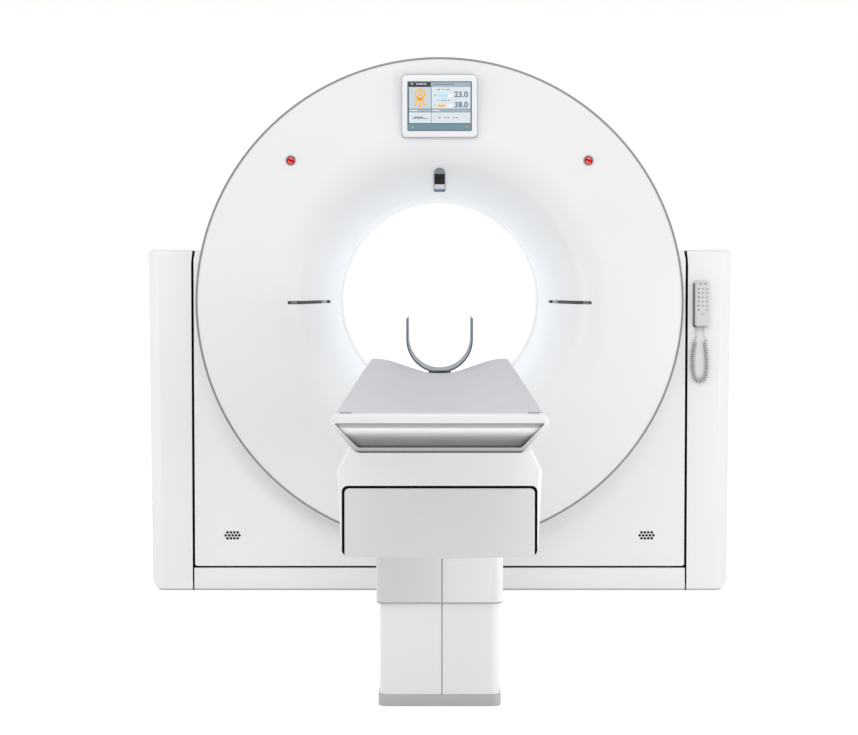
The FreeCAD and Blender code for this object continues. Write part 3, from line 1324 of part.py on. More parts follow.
def tapered_nose(section, inset, tip_y, full_y):
    """Sloping end between a section drawn in by inset and the full one."""
    wires = []
    for drawn_in, y in ((inset, tip_y), (0, full_y)):
        wire = section(drawn_in).OuterWire
        wire.rotate(Vector(), AXIS_X, 90)
        wire.translate(Vector(0, y, 0))
        wires.append(wire)
    return Part.makeLoft(wires, True, True)


def table_body():
    """Filled body of the table with both ends sloped round their edges."""
    front = TABLE_FRONT_Y + TABLE_END_ROUND
    rear = TABLE_REAR_Y - TABLE_END_ROUND
    body = prism_y(table_section(0), front, rear)
    body = body.fuse(tapered_nose(table_section, TABLE_END_ROUND, TABLE_FRONT_Y, front))
    return body.fuse(tapered_nose(table_section, TABLE_END_ROUND, TABLE_REAR_Y, rear))


def table_shell():
    """Moulded shell with sloped ends, open for the end panel and the pedestal."""
    end_inside = TABLE_FRONT_Y + TABLE_END_WALL
    hollow = prism_y(table_section(TABLE_WALL), end_inside, TABLE_REAR_Y - TABLE_END_WALL)
    mouth = prism_y(panel_opening(END_PANEL_GAP), TABLE_FRONT_Y - TABLE_WALL, end_inside + TABLE_WALL)
    inside = prism_z(pedestal_outline(UPPER_SLEEVE_GROWTH + SEAM), 0, TABLE_FRAME_Z)
    return table_body().cut(hollow).cut(mouth).cut(inside)


def table_end_panel():
    """Service panel in the table's foot end, with the lugs that hold it to the frame."""
    face = panel_opening(0)
    panel = prism_y(face, TABLE_FRONT_Y, TABLE_FRONT_Y + END_PANEL_THICKNESS)
    panel = panel.common(prism_y(table_section(0), TABLE_FRONT_Y, TABLE_REAR_Y))
    rear = BEAM_FRONT_Y
    low = END_PANEL_TOP_Z - 2 * LUG_WIDTH
    left = TABLE_BEAM_X - LUG_WIDTH / 2
    right = TABLE_BEAM_X + LUG_WIDTH / 2
    lug = box(left, right, TABLE_FRONT_Y + END_PANEL_THICKNESS - LUG_ROOT, rear, low, low + LUG_WIDTH)
    riser = box(left, right, rear - LUG_THICKNESS, rear, low, BEAM_TOP_Z - LUG_TOP_GAP)
    hanger = lug.fuse(riser)
    return panel.fuse([hanger, other_side(hanger)])


BEAM_FRONT_Y = TABLE_FRONT_Y + TABLE_BEAM_END_GAP
BEAM_REAR_Y = TABLE_REAR_Y - TABLE_BEAM_END_GAP
BEAM_BOTTOM_Z = TABLE_FRAME_Z + TABLE_PLATE_THICKNESS
BEAM_TOP_Z = TABLE_DECK_Z - TABLE_WALL


def table_frame():
    """Two hollow beams along the table on a plate over the pedestal."""
    half = TABLE_BEAM_WIDTH / 2
    beam = box(TABLE_BEAM_X - half, TABLE_BEAM_X + half, BEAM_FRONT_Y, BEAM_REAR_Y, BEAM_BOTTOM_Z, BEAM_TOP_Z)
    hollow = box(TABLE_BEAM_X - half + TABLE_BEAM_WALL, TABLE_BEAM_X + half - TABLE_BEAM_WALL,
                 BEAM_FRONT_Y, BEAM_REAR_Y, BEAM_BOTTOM_Z + TABLE_BEAM_WALL, BEAM_TOP_Z - TABLE_BEAM_WALL)
    beam = beam.cut(hollow)
    plate = prism_z(pedestal_outline(UPPER_SLEEVE_GROWTH), TABLE_FRAME_Z, BEAM_BOTTOM_Z)
    for y in GUIDE_YS:
        plate = plate.cut(guide_box(GUIDE_GAP, TABLE_FRAME_Z, BEAM_BOTTOM_Z, y))
    return plate.fuse([beam, other_side(beam)])


# ---- cradle ---------------------------------------------------------------------------------------------
def cradle_side_pairs():
    """Outer outline of the cradle's cross-section."""
    return (
        (-CRADLE_BOTTOM_HALF, CRADLE_BOTTOM_Z),
        (CRADLE_BOTTOM_HALF, CRADLE_BOTTOM_Z),
        (CRADLE_WIDE_HALF, CRADLE_WIDE_Z),
        (CRADLE_RIM_HALF, CRADLE_TOP_Z),
        (-CRADLE_RIM_HALF, CRADLE_TOP_Z),
        (-CRADLE_WIDE_HALF, CRADLE_WIDE_Z),
    )


def cradle_section(inset):
    """Filled cross-section of the cradle, drawn in by inset."""
    rounds = (CRADLE_BOTTOM_ROUND, CRADLE_BOTTOM_ROUND, CRADLE_RIM_ROUND, CRADLE_RIM_ROUND, CRADLE_RIM_ROUND,
              CRADLE_RIM_ROUND)
    return area(cradle_side_pairs(), rounds, inset)


TROUGH_LINE = (
    (-MATTRESS_HALF, MATTRESS_EDGE_Z),
    (-MATTRESS_SHOULDER_X, MATTRESS_EDGE_Z),
    (-MATTRESS_HOLLOW_X, MATTRESS_EDGE_Z - MATTRESS_HOLLOW),
    (MATTRESS_HOLLOW_X, MATTRESS_EDGE_Z - MATTRESS_HOLLOW),
    (MATTRESS_SHOULDER_X, MATTRESS_EDGE_Z),
    (MATTRESS_HALF, MATTRESS_EDGE_Z),
)
TROUGH_BENDS = (MATTRESS_BEND_R,) * 4


def mattress_block(near, far, y0, y1):
    """Layer between two depths below the mattress's upper surface."""
    return prism_y(strip(TROUGH_LINE, TROUGH_BENDS, -near, -far), y0, y1)


def mattress():
    """Thin pad that lies in the cradle's trough."""
    return mattress_block(0, MATTRESS_THICKNESS, CRADLE_FOOT_Y, CRADLE_HEAD_Y)


def cradle():
    """Long shell that slides into the bore, hollowed for the mattress."""
    block = prism_y(cradle_section(0), CRADLE_FOOT_Y, CRADLE_HEAD_Y)
    return block.cut(mattress_block(-TROUGH_CLEARANCE, MATTRESS_THICKNESS, CRADLE_FOOT_Y, CRADLE_HEAD_Y))


CAP_FRONT_Y = CRADLE_FOOT_Y - CAP_LENGTH


def cap_pocket_pairs():
    """Outline of the recess in the foot cap, parallel to the cap's sides."""
    return (
        (-CRADLE_BOTTOM_HALF, CRADLE_BOTTOM_Z),
        (CRADLE_BOTTOM_HALF, CRADLE_BOTTOM_Z),
        (CRADLE_WIDE_HALF, CRADLE_TOP_Z - CAP_BORDER_TOP + CAP_BORDER),
        (-CRADLE_WIDE_HALF, CRADLE_TOP_Z - CAP_BORDER_TOP + CAP_BORDER),
    )


def cap_pocket(gap, y0, y1):
    """Recess of the foot cap as a prism, smaller all round by gap."""
    top_round = CAP_BORDER + CAP_POCKET_ROUND
    rounds = (CRADLE_BOTTOM_ROUND, CRADLE_BOTTOM_ROUND, top_round, top_round)
    return prism_y(area(cap_pocket_pairs(), rounds, CAP_BORDER + gap), y0, y1)


def cradle_foot_cap():
    """White end piece of the cradle with a recess for its grey insert."""
    cap = prism_y(cradle_section(0), CAP_FRONT_Y + CAP_NOSE, CRADLE_FOOT_Y)
    cap = cap.fuse(tapered_nose(cradle_section, CAP_NOSE, CAP_FRONT_Y, CAP_FRONT_Y + CAP_NOSE))
    return cap.cut(cap_pocket(0, CAP_FRONT_Y, CAP_FRONT_Y + CAP_POCKET_DEPTH))


def cradle_cap_inset():
    """Grey insert of the foot cap: a crest along its top that slopes back towards the bottom."""
    top = CRADLE_TOP_Z - CAP_BORDER_TOP
    rear = CAP_FRONT_Y + CAP_POCKET_DEPTH
    line = [(CAP_FRONT_Y + depth, top - drop) for depth, drop in INSET_LINE]
    profile = prism_x(area([(rear, top)] + line + [(rear, line[-1][1])]), -CRADLE_WIDE_HALF, CRADLE_WIDE_HALF)
    return profile.common(cap_pocket(INSET_GAP, CAP_FRONT_Y, rear))


def cradle_rollers():
    """Rollers that carry the cradle, with their brackets on the deck."""
    axle_z = CRADLE_BOTTOM_Z - ROLLER_GAP - ROLLER_R
    pieces = []
    for y in ROLLER_STATIONS:
        barrel = rod(AXIS_X, ROLLER_R, Vector(-ROLLER_HALF_LENGTH, y, axle_z), 2 * ROLLER_HALF_LENGTH)
        bracket = box(ROLLER_HALF_LENGTH, ROLLER_HALF_LENGTH + ROLLER_BRACKET, y - ROLLER_R, y + ROLLER_R,
                      TABLE_DECK_Z, axle_z + ROLLER_R / 2)
        pieces += [barrel, bracket, other_side(bracket)]
    return Part.makeCompound(pieces)


def cradle_drive():
    """Motor under the deck that drives the cradle's belt."""
    z = BEAM_BOTTOM_Z + CRADLE_MOTOR_RISE
    start = Vector(-CRADLE_MOTOR_LENGTH / 2, CRADLE_MOTOR_Y, z)
    motor = rod(AXIS_X, CRADLE_MOTOR_R, start, CRADLE_MOTOR_LENGTH)
    half_x = TABLE_BEAM_X - TABLE_BEAM_WIDTH / 2
    half_y = CRADLE_MOTOR_BAR_WIDTH / 2
    half_z = CRADLE_MOTOR_BAR_HEIGHT / 2
    bar = box(-half_x, half_x, CRADLE_MOTOR_Y - half_y, CRADLE_MOTOR_Y + half_y, z - half_z, z + half_z)
    return motor.fuse(bar)


# ---- head holder ----------------------------------------------------------------------------------------
def head_area(inset):
    """Section inside the head holder's U, up to its arms' tops."""
    bottom_z = HEAD_AXIS_Z - HEAD_ARC_R
    bend = HEAD_ARC_R - NEAR_HALF_ROUND
    return area(rectangle(HEAD_ARC_R, bottom_z, HEAD_TOP_Z + 2 * inset), (bend, bend, 0, 0), inset)


def head_holder():
    """U-shaped head holder."""
    outside = prism_y(head_area(0), HEAD_FRONT_Y, HEAD_REAR_Y)
    return outside.cut(prism_y(head_area(HEAD_WALL), HEAD_FRONT_Y, HEAD_REAR_Y))


def head_holder_tongue():
    """Tongue that plugs the head holder into the cradle."""
    rear = HEAD_REAR_Y - TONGUE_END_GAP
    block = box(-TONGUE_HALF_WIDTH, TONGUE_HALF_WIDTH, CRADLE_HEAD_Y, rear, TONGUE_BOTTOM_Z, TONGUE_TOP_Z)
    room = prism_y(head_area(0), HEAD_FRONT_Y - TONGUE_TO_HOLDER, HEAD_REAR_Y)
    return block.cut(room)


# ---- all pieces -----------------------------------------------------------------------------------------
def build():
    """Make and write every piece."""
    save("front_cover", front_cover())
    save("front_bell", front_bell())
    save("rear_cover", rear_cover())
    save("rear_bell", rear_bell())
    save("front_rim_trim", rim_trim())
    save("bore_liner", bore_liner())
    save("housing_wrap", housing_wrap())
    save("front_lower_panel", front_lower_panel())
    save("rear_lower_panel", at_rear(plain_lower_panel()))
    save("speakers", speakers())
    save("display_bezel", display_bezel())
    save("display_screen", display_screen())
    save("sensor_housing", sensor_housing())
    save("sensor_lens", sensor_lens())
    save("laser_windows", laser_windows())
    save("estop_collars", estop_collars())
    save("estop_button_right", estop_button())
    save("estop_button_left", other_side(estop_button()))
    save("tilt_frame", tilt_frame())
    save("main_bearing_outer", main_bearing_outer())
    save("main_bearing_inner", main_bearing_inner())
    save("rotor_drum", rotor_drum())
    save("x_ray_tube", x_ray_tube())
    save("collimator", collimator())
    save("detector_arc", detector_arc())
    save("high_voltage_generator", high_voltage_generator())
    save("tube_cooler", tube_cooler())
    save("slip_ring", slip_ring())
    save("brush_block", brush_block())
    save("drive_pulley", drive_pulley())
    save("drive_belt", drive_belt())
    save("drive_motor", drive_motor())
    save("pillar_covers", pillar_covers())
    save("base_plate", base_plate())
    save("stands", stands())
    save("trunnion_bearings", trunnion_bearings())
    save("tilt_gearmotor", tilt_gearmotor())
    save("plinths", plinths())
    save("handset_holder", handset_holder())
    save("handset", handset())
    save("handset_cord", handset_cord())
    save("cord_reliefs", cord_reliefs())
    save("table_foot_cover", table_foot_cover())
    save("lower_sleeves", lower_sleeves())
    save("upper_sleeve", upper_sleeve())
    save("table_base", table_base())
    save("lift_actuator", lift_actuator())
    save("lift_rod", lift_rod())
    save("guide_tubes", guide_tubes())
    save("table_shell", table_shell())
    save("table_end_panel", table_end_panel())
    save("table_frame", table_frame())
    save("cradle", cradle())
    save("cradle_foot_cap", cradle_foot_cap())
    save("cradle_cap_inset", cradle_cap_inset())
    save("cradle_rollers", cradle_rollers())
    save("cradle_drive", cradle_drive())
    save("mattress", mattress())
    save("head_holder", head_holder())
    save("head_holder_tongue", head_holder_tongue())


build()
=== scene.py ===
import bisect
import json
import math

import bmesh
import bpy
import mathutils
from mathutils import Matrix, Vector


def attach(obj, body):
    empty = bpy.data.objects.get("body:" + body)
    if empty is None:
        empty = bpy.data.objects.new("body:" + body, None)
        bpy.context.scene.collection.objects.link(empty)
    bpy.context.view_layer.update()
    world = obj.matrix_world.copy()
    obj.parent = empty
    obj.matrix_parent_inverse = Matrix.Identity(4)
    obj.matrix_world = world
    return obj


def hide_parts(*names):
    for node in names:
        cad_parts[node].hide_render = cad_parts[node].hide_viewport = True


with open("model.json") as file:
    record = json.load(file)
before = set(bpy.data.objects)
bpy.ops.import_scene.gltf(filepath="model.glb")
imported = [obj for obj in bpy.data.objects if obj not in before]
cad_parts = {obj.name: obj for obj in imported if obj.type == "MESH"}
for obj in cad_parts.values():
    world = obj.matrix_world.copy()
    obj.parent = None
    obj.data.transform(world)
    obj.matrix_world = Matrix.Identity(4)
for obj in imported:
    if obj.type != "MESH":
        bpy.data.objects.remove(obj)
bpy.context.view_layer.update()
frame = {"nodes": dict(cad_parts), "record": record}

# Metres, in the frame of the solids: the floor is z = 0, the bore runs along y and the table is at -y.

# ---- sizes shared by several pieces ---------------------------------------------------------------------
SIDES = ((-1, "left"), (1, "right"))
ISO_Z = 1.0                 # height of the bore axis
BORE_R = 0.350
DISC_R = 0.830
DISC_EDGE_Y = 0.400         # the round cover's side ends here
LIP_R = 0.505               # disc and bell mouth meet here, before the rounding
LIP_Y = 0.440
LIP_ROUND = 0.120
THROAT_Y = 0.160            # bell mouth and bore meet here, before the rounding
THROAT_ROUND = 0.150
LINER_HALF = 0.100
COVER_BACK_Y = 0.302
SKIN = 0.005                # thickness of the round covers
EDGE = 1e-4                 # round of an end that looks sharp
SHARP = 35.0                # degrees; edges with a larger angle stay crisp

# ---- materials ------------------------------------------------------------------------------------------
NOISE_RANGE = (0.3, 0.7)    # nearly all values of a noise lie between these
LOOKS = {}


def feed(tree, node, inputs):
    """Sets a node's inputs: a socket is linked, anything else is the value."""
    for name, value in inputs.items():
        if isinstance(value, bpy.types.NodeSocket):
            tree.links.new(value, node.inputs[name])
        else:
            node.inputs[name].default_value = value


def add_node(tree, kind, inputs=None, **settings):
    """New shader node with its settings and inputs."""
    node = tree.nodes.new("ShaderNode" + kind)
    for name, value in settings.items():
        setattr(node, name, value)
    feed(tree, node, inputs or {})
    return node


def new_look(name):
    """A new material among the looks: its node tree and Principled shader."""
    mat = bpy.data.materials.new(name)
    mat.use_nodes = True
    LOOKS[name] = mat
    return mat.node_tree, mat.node_tree.nodes["Principled BSDF"]


def own_coords(tree):
    """The object's own coordinates."""
    return add_node(tree, "TexCoord").outputs["Object"]


def object_part(tree, axis):
    """One of the object's own coordinates."""
    return add_node(tree, "SeparateXYZ", {0: own_coords(tree)}).outputs[axis]


def math_node(tree, operation, *values):
    """Result of an operation on one or two values."""
    return add_node(tree, "Math", dict(enumerate(values)), operation=operation).outputs[0]


def noise(tree, scale, detail=2.0, stretch=(1.0, 1.0, 1.0)):
    """Noise over the object's own coordinates, stretched along its axes."""
    mapping = add_node(tree, "Mapping", {"Vector": own_coords(tree), "Scale": stretch})
    inputs = {"Vector": mapping.outputs["Vector"], "Scale": scale, "Detail": detail}
    return add_node(tree, "TexNoise", inputs).outputs["Fac"]


def ranged(tree, source, low, high, to_low=0.0, to_high=1.0):
    """Maps a value's range to another one."""
    inputs = {"Value": source, "From Min": low, "From Max": high, "To Min": to_low, "To Max": to_high}
    return add_node(tree, "MapRange", inputs).outputs["Result"]


def uneven(tree, source, rough):
    """Roughness that wanders with a noise value."""
    return ranged(tree, source, *NOISE_RANGE, rough * 0.85, rough * 1.15)


def ramp_over(tree, source, stops):
    """Colour ramp over a value; stops are pairs of position and colour."""
    ramp = add_node(tree, "ValToRGB", {"Fac": source})
    while len(ramp.color_ramp.elements) < len(stops):
        ramp.color_ramp.elements.new(0.5)
    for element, (position, colour) in zip(ramp.color_ramp.elements, stops):
        element.position = position
        element.color = (*colour, 1)
    return ramp.outputs["Color"]


def tint(tree, source, colour, variation):
    """Colour that wanders between a darker and a lighter shade with a noise value."""
    darker = [c * (1 - variation) for c in colour]
    lighter = [min(c * (1 + variation), 1.0) for c in colour]
    return ramp_over(tree, source, tuple(zip(NOISE_RANGE, (darker, lighter))))


def blend(tree, factor, first, second, kind="MIX"):
    """Two colours mixed; the node's colour inputs are 6 and 7 and its colour output is 2."""
    mixed = add_node(tree, "Mix", data_type="RGBA", blend_type=kind)
    feed(tree, mixed, {"Factor": factor, 6: first, 7: second})
    return mixed.outputs[2]


def bump(tree, shader, height, strength, distance):
    """Connects a height to the shader as small relief."""
    relief = add_node(tree, "Bump", {"Height": height, "Strength": strength, "Distance": distance})
    feed(tree, shader, {"Normal": relief.outputs["Normal"]})


def finish(name, colour, rough, metal=0.0, coat=0.0, variation=0.015, grain=900.0, relief=0.08):
    """Moulded, painted or machined surface: clouded colour, uneven gloss and a fine grain."""
    tree, shader = new_look(name)
    clouds = noise(tree, 3.0, 4.0)
    feed(tree, shader, {"Base Color": tint(tree, clouds, colour, variation), "Roughness": uneven(tree, clouds, rough),
                        "Metallic": metal, "Coat Weight": coat, "Coat Roughness": 0.12})
    bump(tree, shader, noise(tree, grain), relief, 0.0004)
    return tree, shader


def painted_shading(name, low, high, stops, rough, coat=0.2, axis=2, brush=0.10):
    """Satin finish whose colour follows stops along an axis between two places, faintly brushed along its length; the
    stops paint light and shade onto the part.
    """
    tree, shader = new_look(name)
    shade = ramp_over(tree, ranged(tree, object_part(tree, axis), low, high), stops)
    brushed = noise(tree, 160.0, 3.0, (0.05, 1.0, 6.0))
    streaks = tint(tree, brushed, (0.8, 0.8, 0.8), 0.25)
    feed(tree, shader, {"Base Color": blend(tree, brush, shade, streaks, "MULTIPLY"),
                        "Roughness": uneven(tree, brushed, rough), "Coat Weight": coat})
    bump(tree, shader, brushed, 0.05, 0.0003)


def crevice_painted_shade(name, colour, shade_colour, reach, rough):
    """Plastic with painted shade in its crevices, darker where the curls of a cord meet."""
    tree, shader = new_look(name)
    # painted shade: occlusion darkens the colour in crevices
    occlusion_shade = add_node(tree, "AmbientOcclusion", {"Distance": reach}).outputs["AO"]
    wander = tint(tree, noise(tree, 60.0, 3.0), colour, 0.04)
    feed(tree, shader, {"Base Color": blend(tree, occlusion_shade, (*shade_colour, 1), wander), "Roughness": rough})
    bump(tree, shader, noise(tree, 2500.0), 0.08, 0.0002)


def funnel_painted_glow(name, colour, rough, coat):
    """Cover finish whose bell mouth glows with painted light, bluish white at the bore and fading outwards."""
    tree, shader = finish(name, colour, rough, coat=coat, variation=0.01)
    x = object_part(tree, 0)
    z = math_node(tree, "SUBTRACT", object_part(tree, 2), ISO_Z)
    squares = [math_node(tree, "MULTIPLY", part, part) for part in (x, z)]
    radius = math_node(tree, "SQRT", math_node(tree, "ADD", *squares))
    # painted glow: emission by radius from the bore, standing in for the bore's light falling on the funnel
    glow = ramp_over(tree, ranged(tree, radius, BORE_R, 0.60), PAINTED_GLOW_STOPS)
    feed(tree, shader, {"Emission Color": glow, "Emission Strength": 1.0})


def glowing(name, colour, strength):
    """Lit part of the display: even light broken by faint rows of pixels."""
    tree, shader = new_look(name)
    rows = add_node(tree, "TexWave", {"Scale": 300.0, "Vector": own_coords(tree)}, bands_direction="Z")
    shade = tint(tree, rows.outputs["Fac"], colour, 0.04)
    feed(tree, shader, {"Base Color": shade, "Emission Color": shade, "Emission Strength": strength,
                        "Roughness": 0.25})


# stops of the ramps: place along the ramp and colour
# painted glow of the bell mouth: emission colour by share of the radius, from the bore outwards
PAINTED_GLOW_STOPS = ((0.0, (0.20, 0.22, 0.25)), (0.10, (0.15, 0.17, 0.195)), (0.22, (0.095, 0.107, 0.12)),
              (0.40, (0.06, 0.066, 0.07)), (0.65, (0.02, 0.02, 0.02)), (1.0, (0.0, 0.0, 0.0)))
# painted light on the cap's grey insert by height: a shadow band under the lip, a highlight on the crest, darker
# towards the bottom
INSERT_PAINTED_LIGHT_STOPS = ((0.0, (0.35, 0.355, 0.36)), (0.12, (0.34, 0.345, 0.35)), (0.30, (0.29, 0.295, 0.30)),
                (0.45, (0.33, 0.335, 0.34)), (0.58, (0.52, 0.525, 0.53)), (0.68, (0.76, 0.76, 0.76)),
                (0.79, (0.78, 0.78, 0.78)), (0.86, (0.58, 0.58, 0.59)), (1.0, (0.62, 0.62, 0.63)))
# painted shade on the cap frame by height: near black at the bottom as the shadow line under it, lighter upwards
CAP_PAINTED_SHADE_STOPS = ((0.0, (0.03, 0.03, 0.031)), (0.055, (0.05, 0.05, 0.051)), (0.10, (0.36, 0.36, 0.365)),
             (0.19, (0.44, 0.44, 0.445)), (0.37, (0.50, 0.502, 0.505)), (0.64, (0.60, 0.603, 0.607)),
             (0.87, (0.72, 0.723, 0.727)), (1.0, (0.78, 0.783, 0.788)))
# painted shade across the upper sleeve: darker to the left, where the table body's shadow falls
SLEEVE_PAINTED_SHADE_STOPS = ((0.0, (0.68, 0.679, 0.677)), (0.45, (0.74, 0.739, 0.737)), (0.6, (0.84, 0.838, 0.835)),
                (1.0, (0.88, 0.878, 0.875)))
# black painted into narrow gaps as their shade
GAP_SHADE_BLACK = (0.003, 0.003, 0.003)
WALL_GREY = (0.11, 0.115, 0.125)
# inner faces of the pillars, front to rear: painted shade, black near both edges of the gap, the wall's own dark grey
# between
WALL_SHADE_STOPS = ((0.0, GAP_SHADE_BLACK), (0.11, GAP_SHADE_BLACK), (0.22, WALL_GREY), (0.78, WALL_GREY), (0.89, GAP_SHADE_BLACK),
              (1.0, GAP_SHADE_BLACK))

# the round covers carry a painted glow in their bell mouth
funnel_painted_glow("cover_white", (0.79, 0.793, 0.798), 0.45, 0.05)
finish("panel_white", (0.825, 0.824, 0.822), 0.38, coat=0.1, variation=0.012)
finish("pillar_white", (0.835, 0.833, 0.83), 0.38, coat=0.1, variation=0.012)
finish("bore_white", (0.88, 0.89, 0.91), 0.30, coat=0.2, variation=0.01)
finish("trim_silver", (0.24, 0.245, 0.25), 0.40, metal=0.2, variation=0.05, grain=600.0)
finish("grille_black", (0.004, 0.004, 0.004), 0.90, variation=0.2)
finish("bezel_grey", (0.80, 0.81, 0.82), 0.30, coat=0.2)
finish("screen_glass", (0.10, 0.14, 0.20), 0.08, coat=0.4, variation=0.05, relief=0.01)
finish("camera_grey", (0.20, 0.21, 0.23), 0.28, coat=0.3, variation=0.04)
finish("lens_dark", (0.003, 0.003, 0.0035), 0.30, variation=0.1, relief=0.01)
finish("slot_dark", (0.025, 0.025, 0.028), 0.15, coat=0.4, variation=0.1, relief=0.02)
finish("collar_grey", (0.42, 0.43, 0.45), 0.40, variation=0.04)
finish("stop_red", (0.66, 0.0015, 0.003), 0.50, variation=0.06)
finish("frame_paint", (0.12, 0.13, 0.15), 0.50, variation=0.08, relief=0.2)
finish("bearing_steel", (0.50, 0.50, 0.52), 0.28, metal=1.0, variation=0.06)
finish("drum_aluminium", (0.62, 0.63, 0.65), 0.35, metal=1.0, variation=0.05)
finish("tube_paint", (0.40, 0.41, 0.43), 0.40, variation=0.05, relief=0.15)
finish("collimator_metal", (0.52, 0.40, 0.20), 0.35, metal=1.0, variation=0.06)
finish("unit_paint", (0.10, 0.11, 0.13), 0.45, variation=0.08, relief=0.2)
finish("copper_tracks", (0.70, 0.36, 0.20), 0.30, metal=1.0, variation=0.06)
finish("carbon_black", (0.02, 0.02, 0.02), 0.6, variation=0.2)
finish("belt_rubber", (0.015, 0.015, 0.015), 0.7, variation=0.2, relief=0.3)
finish("motor_paint", (0.03, 0.032, 0.036), 0.45, variation=0.1, relief=0.2)
finish("handset_white", (0.62, 0.62, 0.635), 0.40, coat=0.1)
# dark grey of the key marks' print and of the painted shade beside the handset
finish("handset_print_and_shade", (0.13, 0.135, 0.14), 0.50, variation=0.05)
finish("holder_grey", (0.35, 0.36, 0.38), 0.45)
# cord with painted shade between its curls
crevice_painted_shade("cord_white", (0.66, 0.66, 0.665), (0.02, 0.02, 0.021), 0.022, 0.30)
finish("foot_grey", (0.47, 0.475, 0.485), 0.50, variation=0.04, relief=0.15)
finish("sleeve_white", (0.87, 0.868, 0.865), 0.40, coat=0.05, variation=0.012)
# upper sleeve with painted shade, darker at its left
painted_shading("sleeve_upper_painted_shade", -0.12, 0.12, SLEEVE_PAINTED_SHADE_STOPS, 0.40, 0.05, axis=0, brush=0.02)
finish("table_white", (0.825, 0.824, 0.822), 0.33, coat=0.12)
finish("end_panel", (0.70, 0.70, 0.697), 0.42, coat=0.05)
# dark grey for rims that paint shade lines at edges
finish("edge_shade_grey", (0.36, 0.37, 0.385), 0.45, variation=0.04)
finish("steel_bright", (0.60, 0.60, 0.62), 0.22, metal=1.0, variation=0.05)
finish("cradle_white", (0.85, 0.855, 0.86), 0.30, coat=0.15)
# cap insert and frame with painted light and shade by height
painted_shading("inset_grey", 0.7683, 0.8190, INSERT_PAINTED_LIGHT_STOPS, 0.30)
painted_shading("cap_white_painted_shade", 0.7595, 0.815, CAP_PAINTED_SHADE_STOPS, 0.34)
# black lining of the table's gap: painted shade
finish("gap_black_painted_shade", GAP_SHADE_BLACK, 0.90, variation=0.3, relief=0.2)
# pillar inner faces with painted gap shade along y
painted_shading("gap_wall_painted_shade", -0.302, 0.302, WALL_SHADE_STOPS, 0.80, 0.0, axis=1)
finish("mattress_grey", (0.56, 0.56, 0.60), 0.45, variation=0.02, grain=1400.0, relief=0.25)
finish("holder_tongue", (0.05, 0.05, 0.055), 0.4, variation=0.1)
finish("head_grey", (0.26, 0.31, 0.36), 0.40, variation=0.05, relief=0.2)
finish("head_dark", (0.07, 0.08, 0.095), 0.30, coat=0.3, variation=0.10)
finish("laser_insert", (0.62, 0.63, 0.65), 0.35, variation=0.03)
finish("chin_silver", (0.74, 0.75, 0.77), 0.30, metal=0.5, variation=0.04)
finish("bar_blue", (0.055, 0.075, 0.11), 0.20, coat=0.4, variation=0.1)
finish("mark_white", (0.90, 0.90, 0.91), 0.40, variation=0.02)
finish("key_pale", (0.58, 0.59, 0.61), 0.45, variation=0.03)
finish("strap_grey", (0.26, 0.26, 0.28), 0.55, variation=0.1, relief=0.3)
glowing("light_blue", (0.10, 0.35, 0.70), 0.6)
glowing("screen_pale", (0.64, 0.71, 0.75), 0.06)
glowing("screen_mist", (0.52, 0.59, 0.64), 0.06)
glowing("screen_band", (0.30, 0.38, 0.45), 0.10)
glowing("screen_black", (0.020, 0.020, 0.022), 0.05)
glowing("screen_slate", (0.13, 0.23, 0.28), 0.10)
glowing("screen_amber", (0.90, 0.43, 0.012), 0.08)
glowing("screen_sky", (0.33, 0.72, 0.93), 0.06)
glowing("screen_green", (0.20, 0.55, 0.18), 0.20)
glowing("screen_rose", (0.62, 0.28, 0.22), 0.20)
glowing("screen_ink", (0.075, 0.14, 0.20), 0.05)

for dull in ("gap_black_painted_shade", "gap_wall_painted_shade", "grille_black", "lens_dark", "stop_red"):
    LOOKS[dull].node_tree.nodes["Principled BSDF"].inputs["Specular IOR Level"].default_value = 0.1

# every solid takes the look of its material slot; pieces below replace some of them
for part in frame["record"]["subparts"]:
    node = frame["nodes"][part["node"]]
    node.data.materials.clear()
    node.data.materials.append(LOOKS[part["material_slot"]])

# ---- mesh helpers ---------------------------------------------------------------------------------------


def add_object(name, data):
    """New object in the scene."""
    made = bpy.data.objects.new(name, data)
    bpy.context.scene.collection.objects.link(made)
    return made


def smooth(mesh, sharp=SHARP):
    """Smooth shading, except at edges sharper than an angle."""
    mesh.polygons.foreach_set("use_smooth", [True] * len(mesh.polygons))
    mesh.set_sharp_from_angle(angle=math.radians(sharp))


def make_object(name, look, vertices, faces, sharp=SHARP):
    """Mesh object with merged points and faces that look outwards."""
    mesh = bpy.data.meshes.new(name)
    mesh.from_pydata([tuple(v) for v in vertices], [], faces)
    built = bmesh.new()
    built.from_mesh(mesh)
    bmesh.ops.remove_doubles(built, verts=built.verts, dist=1e-6)
    bmesh.ops.recalc_face_normals(built, faces=built.faces)
    built.to_mesh(mesh)
    built.free()
    smooth(mesh, sharp)
    mesh.materials.append(LOOKS[look])
    return add_object(name, mesh)


def mesh_of(piece):
    """New mesh of a curve, or of a piece with its modifiers."""
    return bpy.data.meshes.new_from_object(piece.evaluated_get(bpy.context.evaluated_depsgraph_get()))


def place(piece, body, slot, *nodes):
    """The piece rides on a body and stands for solids; the slot is not used."""
    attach(piece, body)
    if nodes:
        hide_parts(*nodes)


def turns(count):
    """Even angles of a full turn."""
    return [2 * math.pi * k / count for k in range(count)]


def rounded_corner(corner, before, after, radius, steps, inset=0.0):
    """Points of the arc that rounds a corner between two directions, drawn in by inset."""
    turn = before.angle_signed(after) * -1
    radius = max(radius - inset * (1 if turn > 0 else -1), 0.0004)
    start = corner - before * (radius * math.tan(abs(turn) / 2))
    centre = start + Vector((-before.y, before.x)) * math.copysign(radius, turn)
    return [centre + Matrix.Rotation(turn * k / steps, 2) @ (start - centre) for k in range(steps + 1)]


